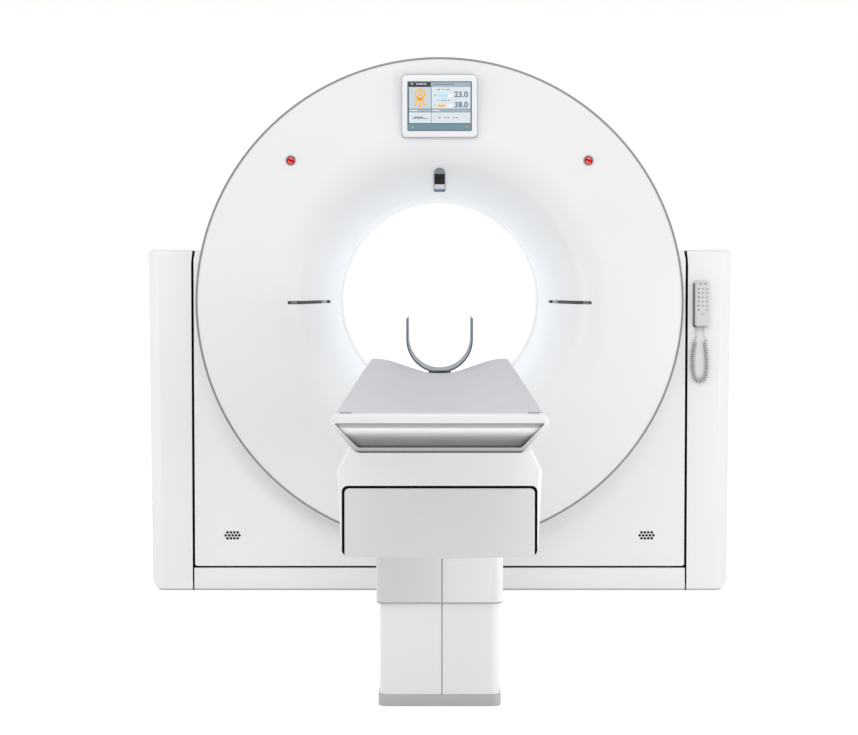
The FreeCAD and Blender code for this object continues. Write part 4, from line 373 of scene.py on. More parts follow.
def outline(corners, radii, inset=0.0, steps=6):
    """Points of a closed anticlockwise outline with rounded corners, drawn in by inset."""
    count = len(corners)
    if isinstance(radii, (int, float)):
        radii = [radii] * count
    points = []
    for i in range(count):
        corner = Vector(corners[i])
        before = (corner - Vector(corners[i - 1])).normalized()
        after = (Vector(corners[(i + 1) % count]) - corner).normalized()
        left_before = Vector((-before.y, before.x))
        left_after = Vector((-after.y, after.x))
        moved = corner + (left_before + left_after) * (inset / (1 + left_before.dot(left_after)))
        points += rounded_corner(moved, before, after, radii[i], steps, inset)
    return points


def arcs(corners, radii, steps):
    """Open line whose inner corners are rounded."""
    corners = [Vector(corner) for corner in corners]
    points = [corners[0]]
    for previous, corner, following, radius in zip(corners, corners[1:], corners[2:], radii):
        points += rounded_corner(corner, (corner - previous).normalized(), (following - corner).normalized(), radius,
                                 steps)
    return points + [corners[-1]]


def shifted(points, distance):
    """Open line moved to the left of its direction by a distance."""
    moved = []
    for i, p in enumerate(points):
        before = (p - points[max(i - 1, 0)]) if i else points[1] - p
        after = (points[min(i + 1, len(points) - 1)] - p) if i < len(points) - 1 else before
        direction = (before.normalized() + after.normalized()).normalized()
        moved.append(p + Vector((-direction.y, direction.x)) * distance)
    return moved


def skin(name, look, rings, sharp=SHARP, looped=False):
    """Skin over rings of equal count, closed by joining the last to the first or by a face at either end."""
    count = len(rings[0])
    faces = []
    for r in range(len(rings) if looped else len(rings) - 1):
        near = r * count
        far = (r + 1) % len(rings) * count
        for i in range(count):
            j = (i + 1) % count
            faces.append((near + i, near + j, far + j, far + i))
    if not looped:
        faces.append(tuple(reversed(range(count))))
        faces.append(tuple((len(rings) - 1) * count + i for i in range(count)))
    return make_object(name, look, [point for ring in rings for point in ring], faces, sharp)


def revolve(name, look, profile, segments=256, sharp=SHARP, centre=(0.0, ISO_Z)):
    """Closed profile of radius and y turned round an axis along y."""
    profile = [Vector(p) for p in profile]
    rings = [[Vector((centre[0] + p.x * math.cos(angle), p.y, centre[1] + p.x * math.sin(angle))) for p in profile]
             for angle in turns(segments)]
    return skin(name, look, rings, sharp, True)


def rounding(radius, steps=4):
    """Pairs of inset and depth along a quarter round, from the end's face to the full section."""
    angles = [math.pi / 2 * k / steps for k in range(steps + 1)]
    return [(radius * (1 - math.sin(angle)), radius * (1 - math.cos(angle))) for angle in angles]


def along_y(points, y):
    return [Vector((p.x, y, p.y)) for p in points]


def along_z(points, z):
    return [Vector((p.x, p.y, z)) for p in points]


def rounded_prism(name, look, section, start, end, start_round=EDGE, end_round=EDGE, lay=along_y, sharp=SHARP):
    """Prism over a section with rounded edges at both ends; section is a function of the inset."""
    rings = [lay(section(inset), start + depth) for inset, depth in rounding(start_round)]
    rings += [lay(section(inset), end - depth) for inset, depth in reversed(rounding(end_round))]
    return skin(name, look, rings, sharp)


def section_of(corners, radii, steps=6):
    """Outline with rounded corners as a function of its inset."""
    return lambda inset: outline(corners, radii, inset, steps)


def box_section(left, right, low, high, radius):
    """Rounded rectangle as a function of its inset."""
    return section_of(((left, low), (right, low), (right, high), (left, high)), radius)


def disc_section(x, z, radius, count=48):
    """Circle as a function of its inset."""
    return lambda inset: [Vector((x + (radius - inset) * math.cos(angle), z + (radius - inset) * math.sin(angle)))
                          for angle in turns(count)]


def block(name, look, limits, ends, rounds, body, slot, *nodes):
    """Box in its place: limits and corner radius across y, then its ends and the rounds of their edges."""
    place(rounded_prism(name, look, box_section(*limits), *ends, *rounds), body, slot, *nodes)


def cut(piece, *cutters):
    """Takes the cutters' volume out of a piece and removes them."""
    for cutter in cutters:
        modifier = piece.modifiers.new("cut", "BOOLEAN")
        modifier.operation = "DIFFERENCE"
        modifier.solver = "EXACT"
        modifier.object = cutter
    mesh = mesh_of(piece)
    piece.modifiers.clear()
    piece.data = mesh
    for cutter in cutters:
        bpy.data.objects.remove(cutter)
    smooth(mesh)


# ---- handset cord ---------------------------------------------------------------------------------------
CORD_EXIT = (0.9100, -0.3170, 0.8970)
CORD_ROUTE = (
    (0.9100, -0.3170, 0.8860), (0.9130, -0.3170, 0.8600), (0.9190, -0.3160, 0.8220), (0.9215, -0.3140, 0.7800),
    (0.9185, -0.3120, 0.7500), (0.9115, -0.3120, 0.7330), (0.8970, -0.3120, 0.7255), (0.8825, -0.3120, 0.7330),
    (0.8750, -0.3120, 0.7500), (0.8720, -0.3110, 0.7800), (0.8725, -0.3110, 0.8220), (0.8790, -0.3110, 0.8620),
    (0.8860, -0.3110, 0.8860))
CORD_END = (0.8860, -0.3110, 0.8930)
CORD_WIRE = 0.004
CORD_COIL_R = 0.0064
CORD_CURLS = 38
CURL_LEAD = 0.014           # run in which the cord bows out to the curls' radius
LEAD_STEPS = 4              # of that run, and of the bend that follows it
CURL_POINTS = 16            # of each curl
RELIEF_RIBS = 6
RELIEF_BORE_R = 0.0021
RELIEF_TIP_R = 0.0024
RELIEF_TOP_R = 0.0036
RIB_PROUD = 0.0003


def spline(name, points, resolution, bevel=0.0):
    """Open NURBS curve with the points as its control points."""
    data = bpy.data.curves.new(name, "CURVE")
    data.dimensions = "3D"
    line = data.splines.new("NURBS")
    line.points.add(len(points) - 1)
    for target, point in zip(line.points, points):
        target.co = (*point, 1)
    line.order_u = 3
    line.use_endpoint_u = True
    line.resolution_u = resolution
    data.bevel_depth = bevel
    data.bevel_resolution = 3
    data.use_fill_caps = True
    piece = add_object(name, data)
    bpy.context.view_layer.update()
    return piece


def read_line(curve):
    """Points along a curve that has no bevel."""
    mesh = mesh_of(curve)
    points = [vertex.co.copy() for vertex in mesh.vertices]
    bpy.data.meshes.remove(mesh)
    return points


class Line:
    """Line through points, asked by distance along it."""

    def __init__(self, points):
        self.points = points
        self.reach = [0.0]
        for start, end in zip(points, points[1:]):
            self.reach.append(self.reach[-1] + (end - start).length)
        self.length = self.reach[-1]

    def at(self, distance):
        distance = min(max(distance, 0.0), self.length)
        last = len(self.points) - 2
        i = min(max(bisect.bisect_right(self.reach, distance) - 1, 0), last)
        share = (distance - self.reach[i]) / (self.reach[i + 1] - self.reach[i])
        return self.points[i].lerp(self.points[i + 1], share)

    def forward(self, distance):
        return (self.at(distance + 0.002) - self.at(distance - 0.002)).normalized()


def curls():
    """Control points of the whole cord: it leaves straight, bows out, turns into the curls and ends the same way."""
    route = spline("cord_route", CORD_ROUTE, 24)
    line = Line(read_line(route))
    bpy.data.objects.remove(route)
    # each step is a distance along the route, a radius round it and an angle
    steps = [(CURL_LEAD * j / LEAD_STEPS, CORD_COIL_R * (1 - math.cos(math.pi * j / LEAD_STEPS)) / 2, 0.0)
             for j in range(LEAD_STEPS + 1)]
    steep = math.atan(2 * math.pi * CORD_COIL_R * CORD_CURLS / line.length)
    for j in range(1, LEAD_STEPS + 1):
        lean = steep * j / LEAD_STEPS
        steps.append((CURL_LEAD + CORD_COIL_R * math.sin(lean), CORD_COIL_R, 1 - math.cos(lean)))
    start, full, first = steps[-1]
    count = round(CORD_CURLS * CURL_POINTS / 2)
    half = line.length / 2 - start
    steps += [(start + half * k / count, full, first + 2 * math.pi * k / CURL_POINTS) for k in range(1, count + 1)]
    middle = steps[-1][2]
    steps += [(line.length - distance, radius, 2 * middle - angle) for distance, radius, angle in reversed(steps[:-1])]
    points = [Vector(CORD_EXIT)]
    for distance, radius, angle in steps:
        forward = line.forward(distance)
        across = forward.cross(Vector((0, 1, 0))).normalized()
        up = across.cross(forward)
        points.append(line.at(distance) + (across * math.cos(angle) + up * math.sin(angle)) * radius)
    return points + [Vector(CORD_END)]


def strain_relief(name, foot, top_z):
    """Ringed tapered sleeve round the cord's end."""
    height = top_z - foot[2]
    profile = [(RELIEF_BORE_R, 0.0)]
    for k in range(RELIEF_RIBS):
        radius = RELIEF_TIP_R + 0.0012 * k / 5
        profile += [(radius, height * k / RELIEF_RIBS), (radius + RIB_PROUD, height * (k + 0.3) / RELIEF_RIBS),
                    (radius + RIB_PROUD, height * (k + 0.6) / RELIEF_RIBS), (radius, height * (k + 0.75) / RELIEF_RIBS)]
    profile += [(RELIEF_TOP_R, height), (RELIEF_BORE_R, height)]
    rings = [[Vector((foot[0] + r * math.cos(angle), foot[1] + r * math.sin(angle), foot[2] + h)) for r, h in profile]
             for angle in turns(24)]
    return skin(name, "cord_white", rings, 60.0, True)


# ---- the round cover's face -----------------------------------------------------------------------------


def bell_line():
    """Outer line of the round cover: its side, the disc, the bell mouth and the start of the bore."""
    corners = ((DISC_R, -COVER_BACK_Y), (DISC_R, -DISC_EDGE_Y), (LIP_R, -LIP_Y), (BORE_R, -THROAT_Y),
               (BORE_R, -LINER_HALF))
    return arcs(corners, (0.003, LIP_ROUND, THROAT_ROUND), 16)


FACE_LINE = [p for p in bell_line() if p.x < DISC_R - 1e-6]


def face_y(radius):
    """Depth of the front cover's face at a radius."""
    for p, q in zip(FACE_LINE, FACE_LINE[1:]):
        if q.x <= radius <= p.x and q.x < p.x:
            return p.y + (q.y - p.y) * (p.x - radius) / (p.x - q.x)
    return FACE_LINE[0].y


def on_cover(x, z, proud):
    """Point over the front cover's face, raised along its normal."""
    radius = math.hypot(x, z - ISO_Z)
    step = 0.001
    slope = (face_y(radius + step) - face_y(radius - step)) / (2 * step)
    tilt = math.hypot(slope, 1.0)
    growth = 1 + proud * slope / tilt / radius
    return Vector((x * growth, face_y(radius) - proud / tilt, ISO_Z + (z - ISO_Z) * growth))


def strip_on_cover(name, look, columns, proud, depth, rows=4):
    """Slab that follows the cover's face; columns of x, lowest z and highest z."""
    rings = []
    for x, low, high in columns:
        front = [on_cover(x, low + (high - low) * k / rows, proud) for k in range(rows + 1)]
        back = [on_cover(x, high - (high - low) * k / rows, proud - depth) for k in range(rows + 1)]
        rings.append(front + back)
    return skin(name, look, rings)


def ring_on_cover(name, look, x, z, profile, count=48):
    """Ring round a point of the cover: closed profile of radius and height over the face."""
    rings = [[on_cover(x + r * math.cos(angle), z + r * math.sin(angle), h) for r, h in profile]
             for angle in turns(count)]
    return skin(name, look, rings, looped=True)


def slot_columns(start, end, half, end_half, steps):
    """Columns of a level slot at the bore's height, with round ends; its height may narrow towards its end."""
    sign = math.copysign(1.0, end - start)
    length = abs(end - start)
    columns = []
    for k in range(steps + 1):
        share = 0.5 - 0.5 * math.cos(math.pi * k / steps)
        along = share * length
        height = half + (end_half - half) * share
        for distance in (along, length - along):
            if distance < height:
                height = min(height, math.sqrt(max(height ** 2 - (height - distance) ** 2, 1e-8)))
        columns.append((start + sign * along, ISO_Z - height, ISO_Z + height))
    return columns


# ---- gantry covers --------------------------------------------------------------------------------------
STOP_X = 0.5034
STOP_Z = 1.4807
STOP_HOLE_R = 0.0142
SLOT_OUTER_X = 0.516
SLOT_INNER_X = 0.379
SLOT_HALF = 0.006
# part, look, outer and inner x, half height at either end, steps, height over the face, depth, replaced solid
LASER_PARTS = (
    ("bed", "laser_insert", SLOT_OUTER_X, SLOT_INNER_X, SLOT_HALF, SLOT_HALF, 48, -0.0032, 0.0015, "laser_windows"),
    ("glass", "slot_dark", 0.5150, 0.4060, 0.0058, 0.0046, 48, -0.0006, 0.0030),
    ("block", "collar_grey", 0.4040, 0.3935, 0.0040, 0.0040, 48, -0.0010, 0.0030),
    ("lens", "lens_dark", 0.3905, 0.3825, 0.0038, 0.0038, 16, -0.0008, 0.0030))


def bell_cover(name):
    """Smooth round cover with its wall."""
    outer = bell_line()
    return revolve(name, "cover_white", outer + shifted(outer, -SKIN)[::-1])


front = bell_cover("front_cover_skin")
cutters = []
for side, word in SIDES:
    slot_shape = box_section(*sorted((side * SLOT_OUTER_X, side * SLOT_INNER_X)), ISO_Z - SLOT_HALF,
                             ISO_Z + SLOT_HALF, SLOT_HALF - 0.0005)
    cutters.append(rounded_prism("slot_cutter", "cover_white", slot_shape, -0.46, -0.14))
    cutters.append(rounded_prism("stop_cutter", "cover_white", disc_section(side * STOP_X, STOP_Z, STOP_HOLE_R),
                                 -0.46, -0.36))
cut(front, *cutters)
place(front, "gantry", "cover_white", "front_cover", "front_bell")
rear = bell_cover("rear_cover_skin")
rear.data.transform(Matrix.Scale(-1, 4, (0, 1, 0)))
rear.data.flip_normals()
place(rear, "gantry", "cover_white", "rear_cover", "rear_bell")

# light slots of the positioning lasers: dark glass that narrows inwards, a grey insert and its lens
for side, word in SIDES:
    for part, look, outer_x, inner_x, half, end_half, steps, proud, depth, *nodes in LASER_PARTS:
        columns = slot_columns(side * outer_x, side * inner_x, half, end_half, steps)
        piece = strip_on_cover("laser_%s_%s" % (part, word), look, columns, proud, depth)
        place(piece, "gantry", "slot_dark", *nodes)

# ---- emergency stops ------------------------------------------------------------------------------------
COLLAR_LINE = ((0.0138, -0.0030), (0.0138, 0.0012), (0.0144, 0.0020), (0.0152, 0.0024), (0.0172, 0.0024),
               (0.0182, 0.0019), (0.0187, 0.0008), (0.0187, -0.0010))
BUTTON_LINE = ((0.0, -0.4239), (0.0050, -0.4241), (0.0085, -0.4244), (0.0108, -0.4240), (0.0124, -0.4228),
               (0.0130, -0.4210), (0.0132, -0.4190), (0.0129, -0.4178), (0.0120, -0.4172), (0.0092, -0.4168),
               (0.0092, -0.3965), (0.0, -0.3965))
ARROW_R = 0.0078
ARROW_TURN = 2.0            # radians that each arrow covers
ARROW_STEPS = 14
HEAD_STEPS = 4              # the last of them, which narrow to the arrow's point


def emergency_stop(side, word):
    """Grey collar on the cover and a red mushroom button with two turning arrows."""
    x = side * STOP_X
    body = "estop_" + word
    place(ring_on_cover("stop_collar_" + word, "collar_grey", x, STOP_Z, COLLAR_LINE), "gantry", "collar_grey",
          "estop_collars")
    place(revolve("stop_button_" + word, "stop_red", BUTTON_LINE, 64, 50.0, (x, STOP_Z)), body, "stop_red",
          "estop_button_" + word)
    vertices = []
    faces = []
    for turn in (0.25, math.pi + 0.25):
        base = len(vertices)
        for k in range(ARROW_STEPS + 1):
            angle = turn + ARROW_TURN * k / ARROW_STEPS
            width = 0.0006 if k < ARROW_STEPS - HEAD_STEPS else 0.0016 * (ARROW_STEPS - k) / HEAD_STEPS
            for radius in (ARROW_R - width, ARROW_R + width):
                for y in (-0.42455, -0.4235):
                    vertices.append((x + radius * math.cos(angle), y, STOP_Z + radius * math.sin(angle)))
        for a in range(base, base + 4 * ARROW_STEPS, 4):
            faces += [(a, a + 2, a + 6, a + 4), (a + 1, a + 5, a + 7, a + 3), (a, a + 4, a + 5, a + 1),
                      (a + 2, a + 3, a + 7, a + 6)]
        faces.append((base, base + 1, base + 3, base + 2))
    place(make_object("stop_arrows_" + word, "mark_white", vertices, faces), body, "stop_red")


for side, word in SIDES:
    emergency_stop(side, word)

# ---- patient camera over the bore -----------------------------------------------------------------------
# part, look, half width, lowest and highest z, upper and lower corner, height over the face, depth, rows, slot and
# replaced solid: a slim domed body, its window, a bright chin and a bar
SENSOR_PARTS = (
    ("body", "camera_grey", 0.0195, 1.385, 1.459, 0.0190, 0.004, 0.0055, 0.0085, 20, "camera_grey", "sensor_housing"),
    ("window", "lens_dark", 0.0172, 1.4110, 1.4430, 0.002, 0.002, 0.0066, 0.0040, 10, "lens_dark", "sensor_lens"),
    ("chin", "chin_silver", 0.0176, 1.3945, 1.4104, 0.001, 0.001, 0.0062, 0.0040, 8, "camera_grey"),
    ("bar", "bar_blue", 0.0176, 1.3880, 1.3936, 0.001, 0.0015, 0.0064, 0.0040, 4, "camera_grey"))
SENSOR_STEPS = 28
LIGHT_LINE = ((0.0001, 0.0050), (0.0001, 0.0072), (0.0016, 0.0070), (0.0018, 0.0060), (0.0018, 0.0050))


def corner_drop(edge, radius):
    """How far a rounded corner lies inside its square at a distance from the side."""
    return radius - math.sqrt(max(radius ** 2 - (radius - min(edge, radius)) ** 2, 0))


for part, look, half, low, high, top_round, low_round, proud, depth, rows, slot, *nodes in SENSOR_PARTS:
    columns = []
    for k in range(SENSOR_STEPS + 1):
        x = -half * math.cos(math.pi * k / SENSOR_STEPS)
        edge = half - abs(x)
        columns.append((x, low + corner_drop(edge, low_round), high - corner_drop(edge, top_round)))
    place(strip_on_cover("sensor_" + part, look, columns, proud, depth, rows), "gantry", slot, *nodes)
for i, x in enumerate((-0.0085, -0.001, 0.0065)):
    place(ring_on_cover("sensor_light_%d" % i, "light_blue", x, 1.3906, LIGHT_LINE, 16), "gantry", "camera_grey")

# ---- display --------------------------------------------------------------------------------------------
SCREEN_LEFT = -0.108
SCREEN_TOP = 1.7448
SCREEN_WIDTH = 0.216
SCREEN_HEIGHT = 0.166
SCREEN_Y = -0.4455
RECESS_Y = -0.4425
BLOCK_LOW = 1.5580
BLOCK_HIGH = 1.7668
LAYER = 0.00012             # height of each layer of shapes over the glass


def screen_section(growth, radius):
    """Outline of the screen, grown by a distance."""
    return box_section(SCREEN_LEFT - growth, -SCREEN_LEFT + growth, SCREEN_TOP - SCREEN_HEIGHT - growth,
                       SCREEN_TOP + growth, radius)


def screen_point(u, v):
    """Point of the screen from shares of its width and height, from the top left."""
    return Vector((SCREEN_LEFT + SCREEN_WIDTH * u, SCREEN_TOP - SCREEN_HEIGHT * v))


def screen_shapes(name, look, layer, shapes):
    """Thin raised shapes on the screen; each is a list of corners in shares of the screen."""
    vertices = []
    faces = []
    for shape in shapes:
        base = len(vertices)
        count = len(shape)
        for y in (SCREEN_Y - LAYER * layer, SCREEN_Y + 0.0002):
            vertices += along_y([screen_point(u, v) for u, v in shape], y)
        faces.append(tuple(base + i for i in range(count)))
        faces.append(tuple(base + count + i for i in reversed(range(count))))
        for i in range(count):
            j = (i + 1) % count
            faces.append((base + i, base + count + i, base + count + j, base + j))
    place(make_object(name, look, vertices, faces), "gantry", "screen_glass")


def bar(left, top, right, bottom):
    return [(left, top), (right, top), (right, bottom), (left, bottom)]


def bars(left, right, step, top, bottom, places):
    """Bars in a row, at some of its places."""
    return [bar(left + step * k, top, right + step * k, bottom) for k in places]


def circle(u, v, radius, inner, steps=12):
    """Circular band in shares of the screen, left open by a hair so that its outline is one line."""
    ratio = SCREEN_WIDTH / SCREEN_HEIGHT
    angles = [2 * math.pi * (0.999 * k / steps) for k in range(steps + 1)]
    outer_points, inner_points = [[(u + r * math.cos(angle), v + r * ratio * math.sin(angle)) for angle in angles]
                                  for r in (radius, inner)]
    return outer_points + inner_points[::-1]


def screen_number(name, text, u, v):
    """Number set flat on the screen."""
    data = bpy.data.curves.new(name, "FONT")
    data.body = text
    data.size = 0.0262
    data.extrude = 0.00015
    data.offset = 0.0006
    data.space_character = 1.03
    written = add_object(name, data)
    bpy.context.view_layer.update()
    mesh = mesh_of(written)
    bpy.data.objects.remove(written)
    p = screen_point(u, v)
    mesh.transform(Matrix.Translation((p.x, SCREEN_Y - 0.0003, p.y)) @ Matrix.Rotation(math.pi / 2, 4, "X"))
    mesh.materials.clear()
    mesh.materials.append(LOOKS["screen_ink"])
    place(add_object(name, mesh), "gantry", "screen_glass")


bezel = rounded_prism("display_block", "bezel_grey", box_section(-0.1262, 0.1262, BLOCK_LOW, BLOCK_HIGH, 0.013),
                      -0.447, -0.398, 0.004)
cut(bezel, rounded_prism("screen_cutter", "bezel_grey", screen_section(0.0006, 0.004), -0.46, RECESS_Y))
place(bezel, "gantry", "bezel_grey", "display_bezel")
# dark rim round the bezel's foot: painted shade of its edge
block("display_shade_rim", "edge_shade_grey", (-0.1284, 0.1284, BLOCK_LOW - 0.0022, BLOCK_HIGH + 0.0022, 0.015),
      (-0.4435, -0.396), (0.002,), "gantry", "bezel_grey")
glass = rounded_prism("display_glass", "screen_glass", screen_section(0.0, 0.0035), SCREEN_Y, RECESS_Y, 0.0006)
place(glass, "gantry", "screen_glass", "display_screen")
screen_shapes("screen_panels", "screen_pale", 1,
              [bar(0.375, 0.110, 0.980, 0.550), bar(0.025, 0.625, 0.368, 0.840), bar(0.375, 0.625, 0.980, 0.840)])
screen_shapes("screen_left", "screen_mist", 1, [bar(0.025, 0.115, 0.365, 0.550)])
screen_shapes("screen_bands", "screen_band", 1,
              [bar(0.365, 0.018, 0.982, 0.105), bar(0.025, 0.560, 0.368, 0.615), bar(0.375, 0.560, 0.980, 0.615)])
screen_shapes("screen_header", "screen_black", 1, [bar(0.012, 0.018, 0.362, 0.110)])
screen_shapes("screen_footer", "screen_slate", 1, [bar(0.012, 0.860, 0.988, 0.980)])
screen_shapes("screen_amber", "screen_amber", 2,
              [circle(0.195, 0.255, 0.083, 0.060, 36), circle(0.195, 0.255, 0.020, 0.001),
               bar(0.187, 0.175, 0.203, 0.240),
               [(0.140, 0.315), (0.152, 0.328), (0.186, 0.280), (0.176, 0.262)],
               [(0.250, 0.315), (0.238, 0.328), (0.204, 0.280), (0.214, 0.262)],
               [(0.150, 0.345), (0.240, 0.345), (0.268, 0.400), (0.122, 0.400)],
               [(0.135, 0.425), (0.160, 0.425), (0.125, 0.505), (0.098, 0.490)],
               bar(0.180, 0.425, 0.210, 0.535),
               [(0.230, 0.425), (0.255, 0.425), (0.292, 0.490), (0.265, 0.505)]])
screen_shapes("screen_gauge_beds", "mark_white", 2,
              [bar(0.635, 0.262, 0.705, 0.305), bar(0.600, 0.470, 0.705, 0.512), bar(0.050, 0.045, 0.090, 0.060),
               bar(0.135, 0.045, 0.170, 0.062), bar(0.180, 0.045, 0.245, 0.062), bar(0.255, 0.045, 0.290, 0.062),
               bar(0.045, 0.580, 0.160, 0.596), bar(0.390, 0.580, 0.500, 0.596)])
screen_shapes("screen_gauge_blue", "screen_sky", 2, [bar(0.470, 0.262, 0.635, 0.305)])
screen_shapes("screen_gauge_orange", "screen_amber", 2, [bar(0.470, 0.470, 0.600, 0.512)])
screen_shapes("screen_ticks", "screen_green", 2,
              [[(0.412, 0.272), (0.428, 0.262), (0.444, 0.272), (0.444, 0.296), (0.428, 0.304), (0.412, 0.296)],
               [(0.412, 0.502), (0.428, 0.462), (0.446, 0.502)], circle(0.078, 0.920, 0.014, 0.001)])
screen_shapes("screen_alert", "screen_rose", 2, [circle(0.922, 0.915, 0.014, 0.006), bar(0.885, 0.905, 0.960, 0.916)])
screen_shapes("screen_captions", "screen_ink", 2,
              bars(0.460, 0.482, 0.028, 0.158, 0.176, (0, 1, 3, 5, 6))
              + bars(0.470, 0.490, 0.028, 0.374, 0.392, (0, 2, 3, 4, 6))
              + bars(0.485, 0.512, 0.045, 0.722, 0.742, (0, 2, 3, 5, 6))
              + bars(0.410, 0.442, 0.040, 0.050, 0.068, range(8))
              + [bar(0.070, 0.740, 0.320, 0.752), bar(0.100, 0.712, 0.240, 0.732)])
screen_number("screen_number_upper", "23.0", 0.728, 0.315)
screen_number("screen_number_lower", "38.0", 0.728, 0.524)

# ---- pointers of the tilt scale -------------------------------------------------------------------------
for side, word in SIDES:
    base = side * 0.8466
    corners = ((side * 0.8375, ISO_Z), (base, ISO_Z - 0.005), (base, ISO_Z + 0.005))
    vertices = [(x, y, z) for y in (-0.2958, -0.2940) for x, z in corners]
    place(make_object("tilt_pointer_" + word, "slot_dark", vertices,
                      [(0, 1, 2), (3, 5, 4), (0, 3, 4, 1), (1, 4, 5, 2), (2, 5, 3, 0)]), "gantry", "slot_dark")

# ---- pillars --------------------------------------------------------------------------------------------
PILLAR_IN_X = 0.8548
PILLAR_TOP_Z = 1.180
PILLAR_OUT_FOOT_X = 0.999
PILLAR_OUT_TOP_X = 1.007
PILLAR_HALF_Y = 0.300
PILLAR_TOP_ROUND = 0.014
PILLAR_FOOT_ROUND = 0.040
PILLAR_BEVEL = 0.0375
# the grey band along the floor at the foot of pillars and plinths is a painted shadow line
FLOOR_SHADOW_LINE = 0.0068        # height of the grey line along the floor
PILLAR_BEND_Z = 1.118       # above this the inner face bends towards the housing
PILLAR_BEND = 0.0062
FOOT_STEPS = 8
SHOULDER_IN_X = 0.806
SHOULDER_X = 0.8467
SHOULDER_LOW_Z = 1.110
SHOULDER_TOP_Z = 1.1797
SHOULDER_HALF_Y = 0.2995
SHOULDER_STEPS = 8
GRILLE_X = 0.717
GRILLE_Z = 0.192
# profile of the dark ring round each grille hole: painted shade of the hole's chamfer
GRILLE_SHADE_RING = ((0.0037, -0.3002), (0.0047, -0.3002), (0.0047, -0.2998), (0.0037, -0.2998))


def shoulder_lean(z):
    """How far the gap between housing and pillar has moved inwards at a height, as a share."""
    return (max(z - PILLAR_BEND_Z, 0) / (PILLAR_TOP_Z - PILLAR_BEND_Z)) ** 2


def shoulder(side, word):
    """Full corner of the housing beside the pillar's top."""
    levels = [SHOULDER_LOW_Z + (SHOULDER_TOP_Z - SHOULDER_LOW_Z) * k / SHOULDER_STEPS
              for k in range(SHOULDER_STEPS + 1)]
    line = [(SHOULDER_X - PILLAR_BEND * shoulder_lean(z), z) for z in levels]
    corners = [(x * side, z) for x, z in [(SHOULDER_IN_X, SHOULDER_LOW_Z)] + line + [(SHOULDER_IN_X, SHOULDER_TOP_Z)]]
    if side < 0:
        corners.reverse()
    rounds = [0.0008] * len(corners)
    rounds[-2 if side > 0 else 1] = 0.004
    piece = rounded_prism("shoulder_" + word, "panel_white", section_of(corners, rounds, 4), -SHOULDER_HALF_Y,
                          SHOULDER_HALF_Y)
    place(piece, "gantry", "panel_white")


def pillar(side, word):
    """Side cover with rounded outer corners that leans out upwards and tucks in at the floor."""
    levels = [(PILLAR_FOOT_ROUND * (1 - math.cos(math.pi / 2 * k / FOOT_STEPS)), 0.0) for k in range(FOOT_STEPS + 1)]
    levels.append((FLOOR_SHADOW_LINE, 0.0))
    levels.sort()
    levels += [(PILLAR_BEND_Z * k / 6, 0.0) for k in range(1, 7)]
    levels += [(PILLAR_BEND_Z + 0.008 * k, 0.0) for k in range(1, 6)]
    levels += [(PILLAR_TOP_Z - depth, inset) for inset, depth in reversed(rounding(PILLAR_TOP_ROUND, 6))]
    rings = []
    for z, inset in levels:
        full = PILLAR_OUT_FOOT_X + (PILLAR_OUT_TOP_X - PILLAR_OUT_FOOT_X) * z / PILLAR_TOP_Z
        out = full
        if z < PILLAR_FOOT_ROUND:
            out -= PILLAR_FOOT_ROUND - math.sqrt(PILLAR_FOOT_ROUND ** 2 - (PILLAR_FOOT_ROUND - z) ** 2)
        near = min(full - PILLAR_BEVEL, out - 0.006)
        bevel_y = PILLAR_HALF_Y - (out - near)
        inner = PILLAR_IN_X - PILLAR_BEND * shoulder_lean(z)
        corners = [(inner, -PILLAR_HALF_Y), (near, -PILLAR_HALF_Y), (out, -bevel_y), (out, bevel_y),
                   (near, PILLAR_HALF_Y), (inner, PILLAR_HALF_Y)]
        ring = along_z(outline(corners, (0.002, 0.004, 0.006, 0.006, 0.004, 0.002), inset, 5), z)
        rings.append([Vector((p.x * side, p.y, p.z)) for p in ring])
    piece = skin("pillar_" + word, "pillar_white", rings, 30.0)
    # the inner faces take painted shade: black near the front and rear edges, dark grey between
    piece.data.materials.append(LOOKS["gap_wall_painted_shade"])
    piece.data.materials.append(LOOKS["foot_grey"])
    for face in piece.data.polygons:
        if abs(face.center.x) < PILLAR_IN_X + 0.0009 and abs(face.normal.x) > 0.7:
            face.material_index = 1
        # faces along the floor are grey: a painted shadow line
        elif face.center.z < FLOOR_SHADOW_LINE:
            face.material_index = 2
    place(piece, "base", "pillar_white", "pillar_covers")


for side, word in SIDES:
    pillar(side, word)
    shoulder(side, word)
for side, word in SIDES:
    holes = [(GRILLE_X + (column - (count - 1) / 2) * 0.0118, GRILLE_Z + row * 0.0103)
             for row, count in ((-1, 4), (0, 5), (1, 4)) for column in range(count)]
    for i, (x, z) in enumerate(holes):
        rim = revolve("grille_%s_%02d" % (word, i), "grille_black", GRILLE_SHADE_RING, 24, 30.0, (side * x, z))
        place(rim, "gantry", "grille_black")
for turn, word in ((1, "front"), (-1, "rear")):
    block("plinth_" + word, "panel_white", (-0.8500, 0.8500, FLOOR_SHADOW_LINE, 0.079, 0.0012),
          sorted((-0.300 * turn, -0.295 * turn)), (0.0008, 0.0008), "base", "panel_white", "plinths")
    # grey band at the plinth's foot: a painted shadow line
    block("plinth_shadow_line_" + word, "foot_grey", (-0.8498, 0.8498, 0.0, FLOOR_SHADOW_LINE, 0.0008),
          sorted((-0.2998 * turn, -0.2950 * turn)), (), "base", "foot_grey")

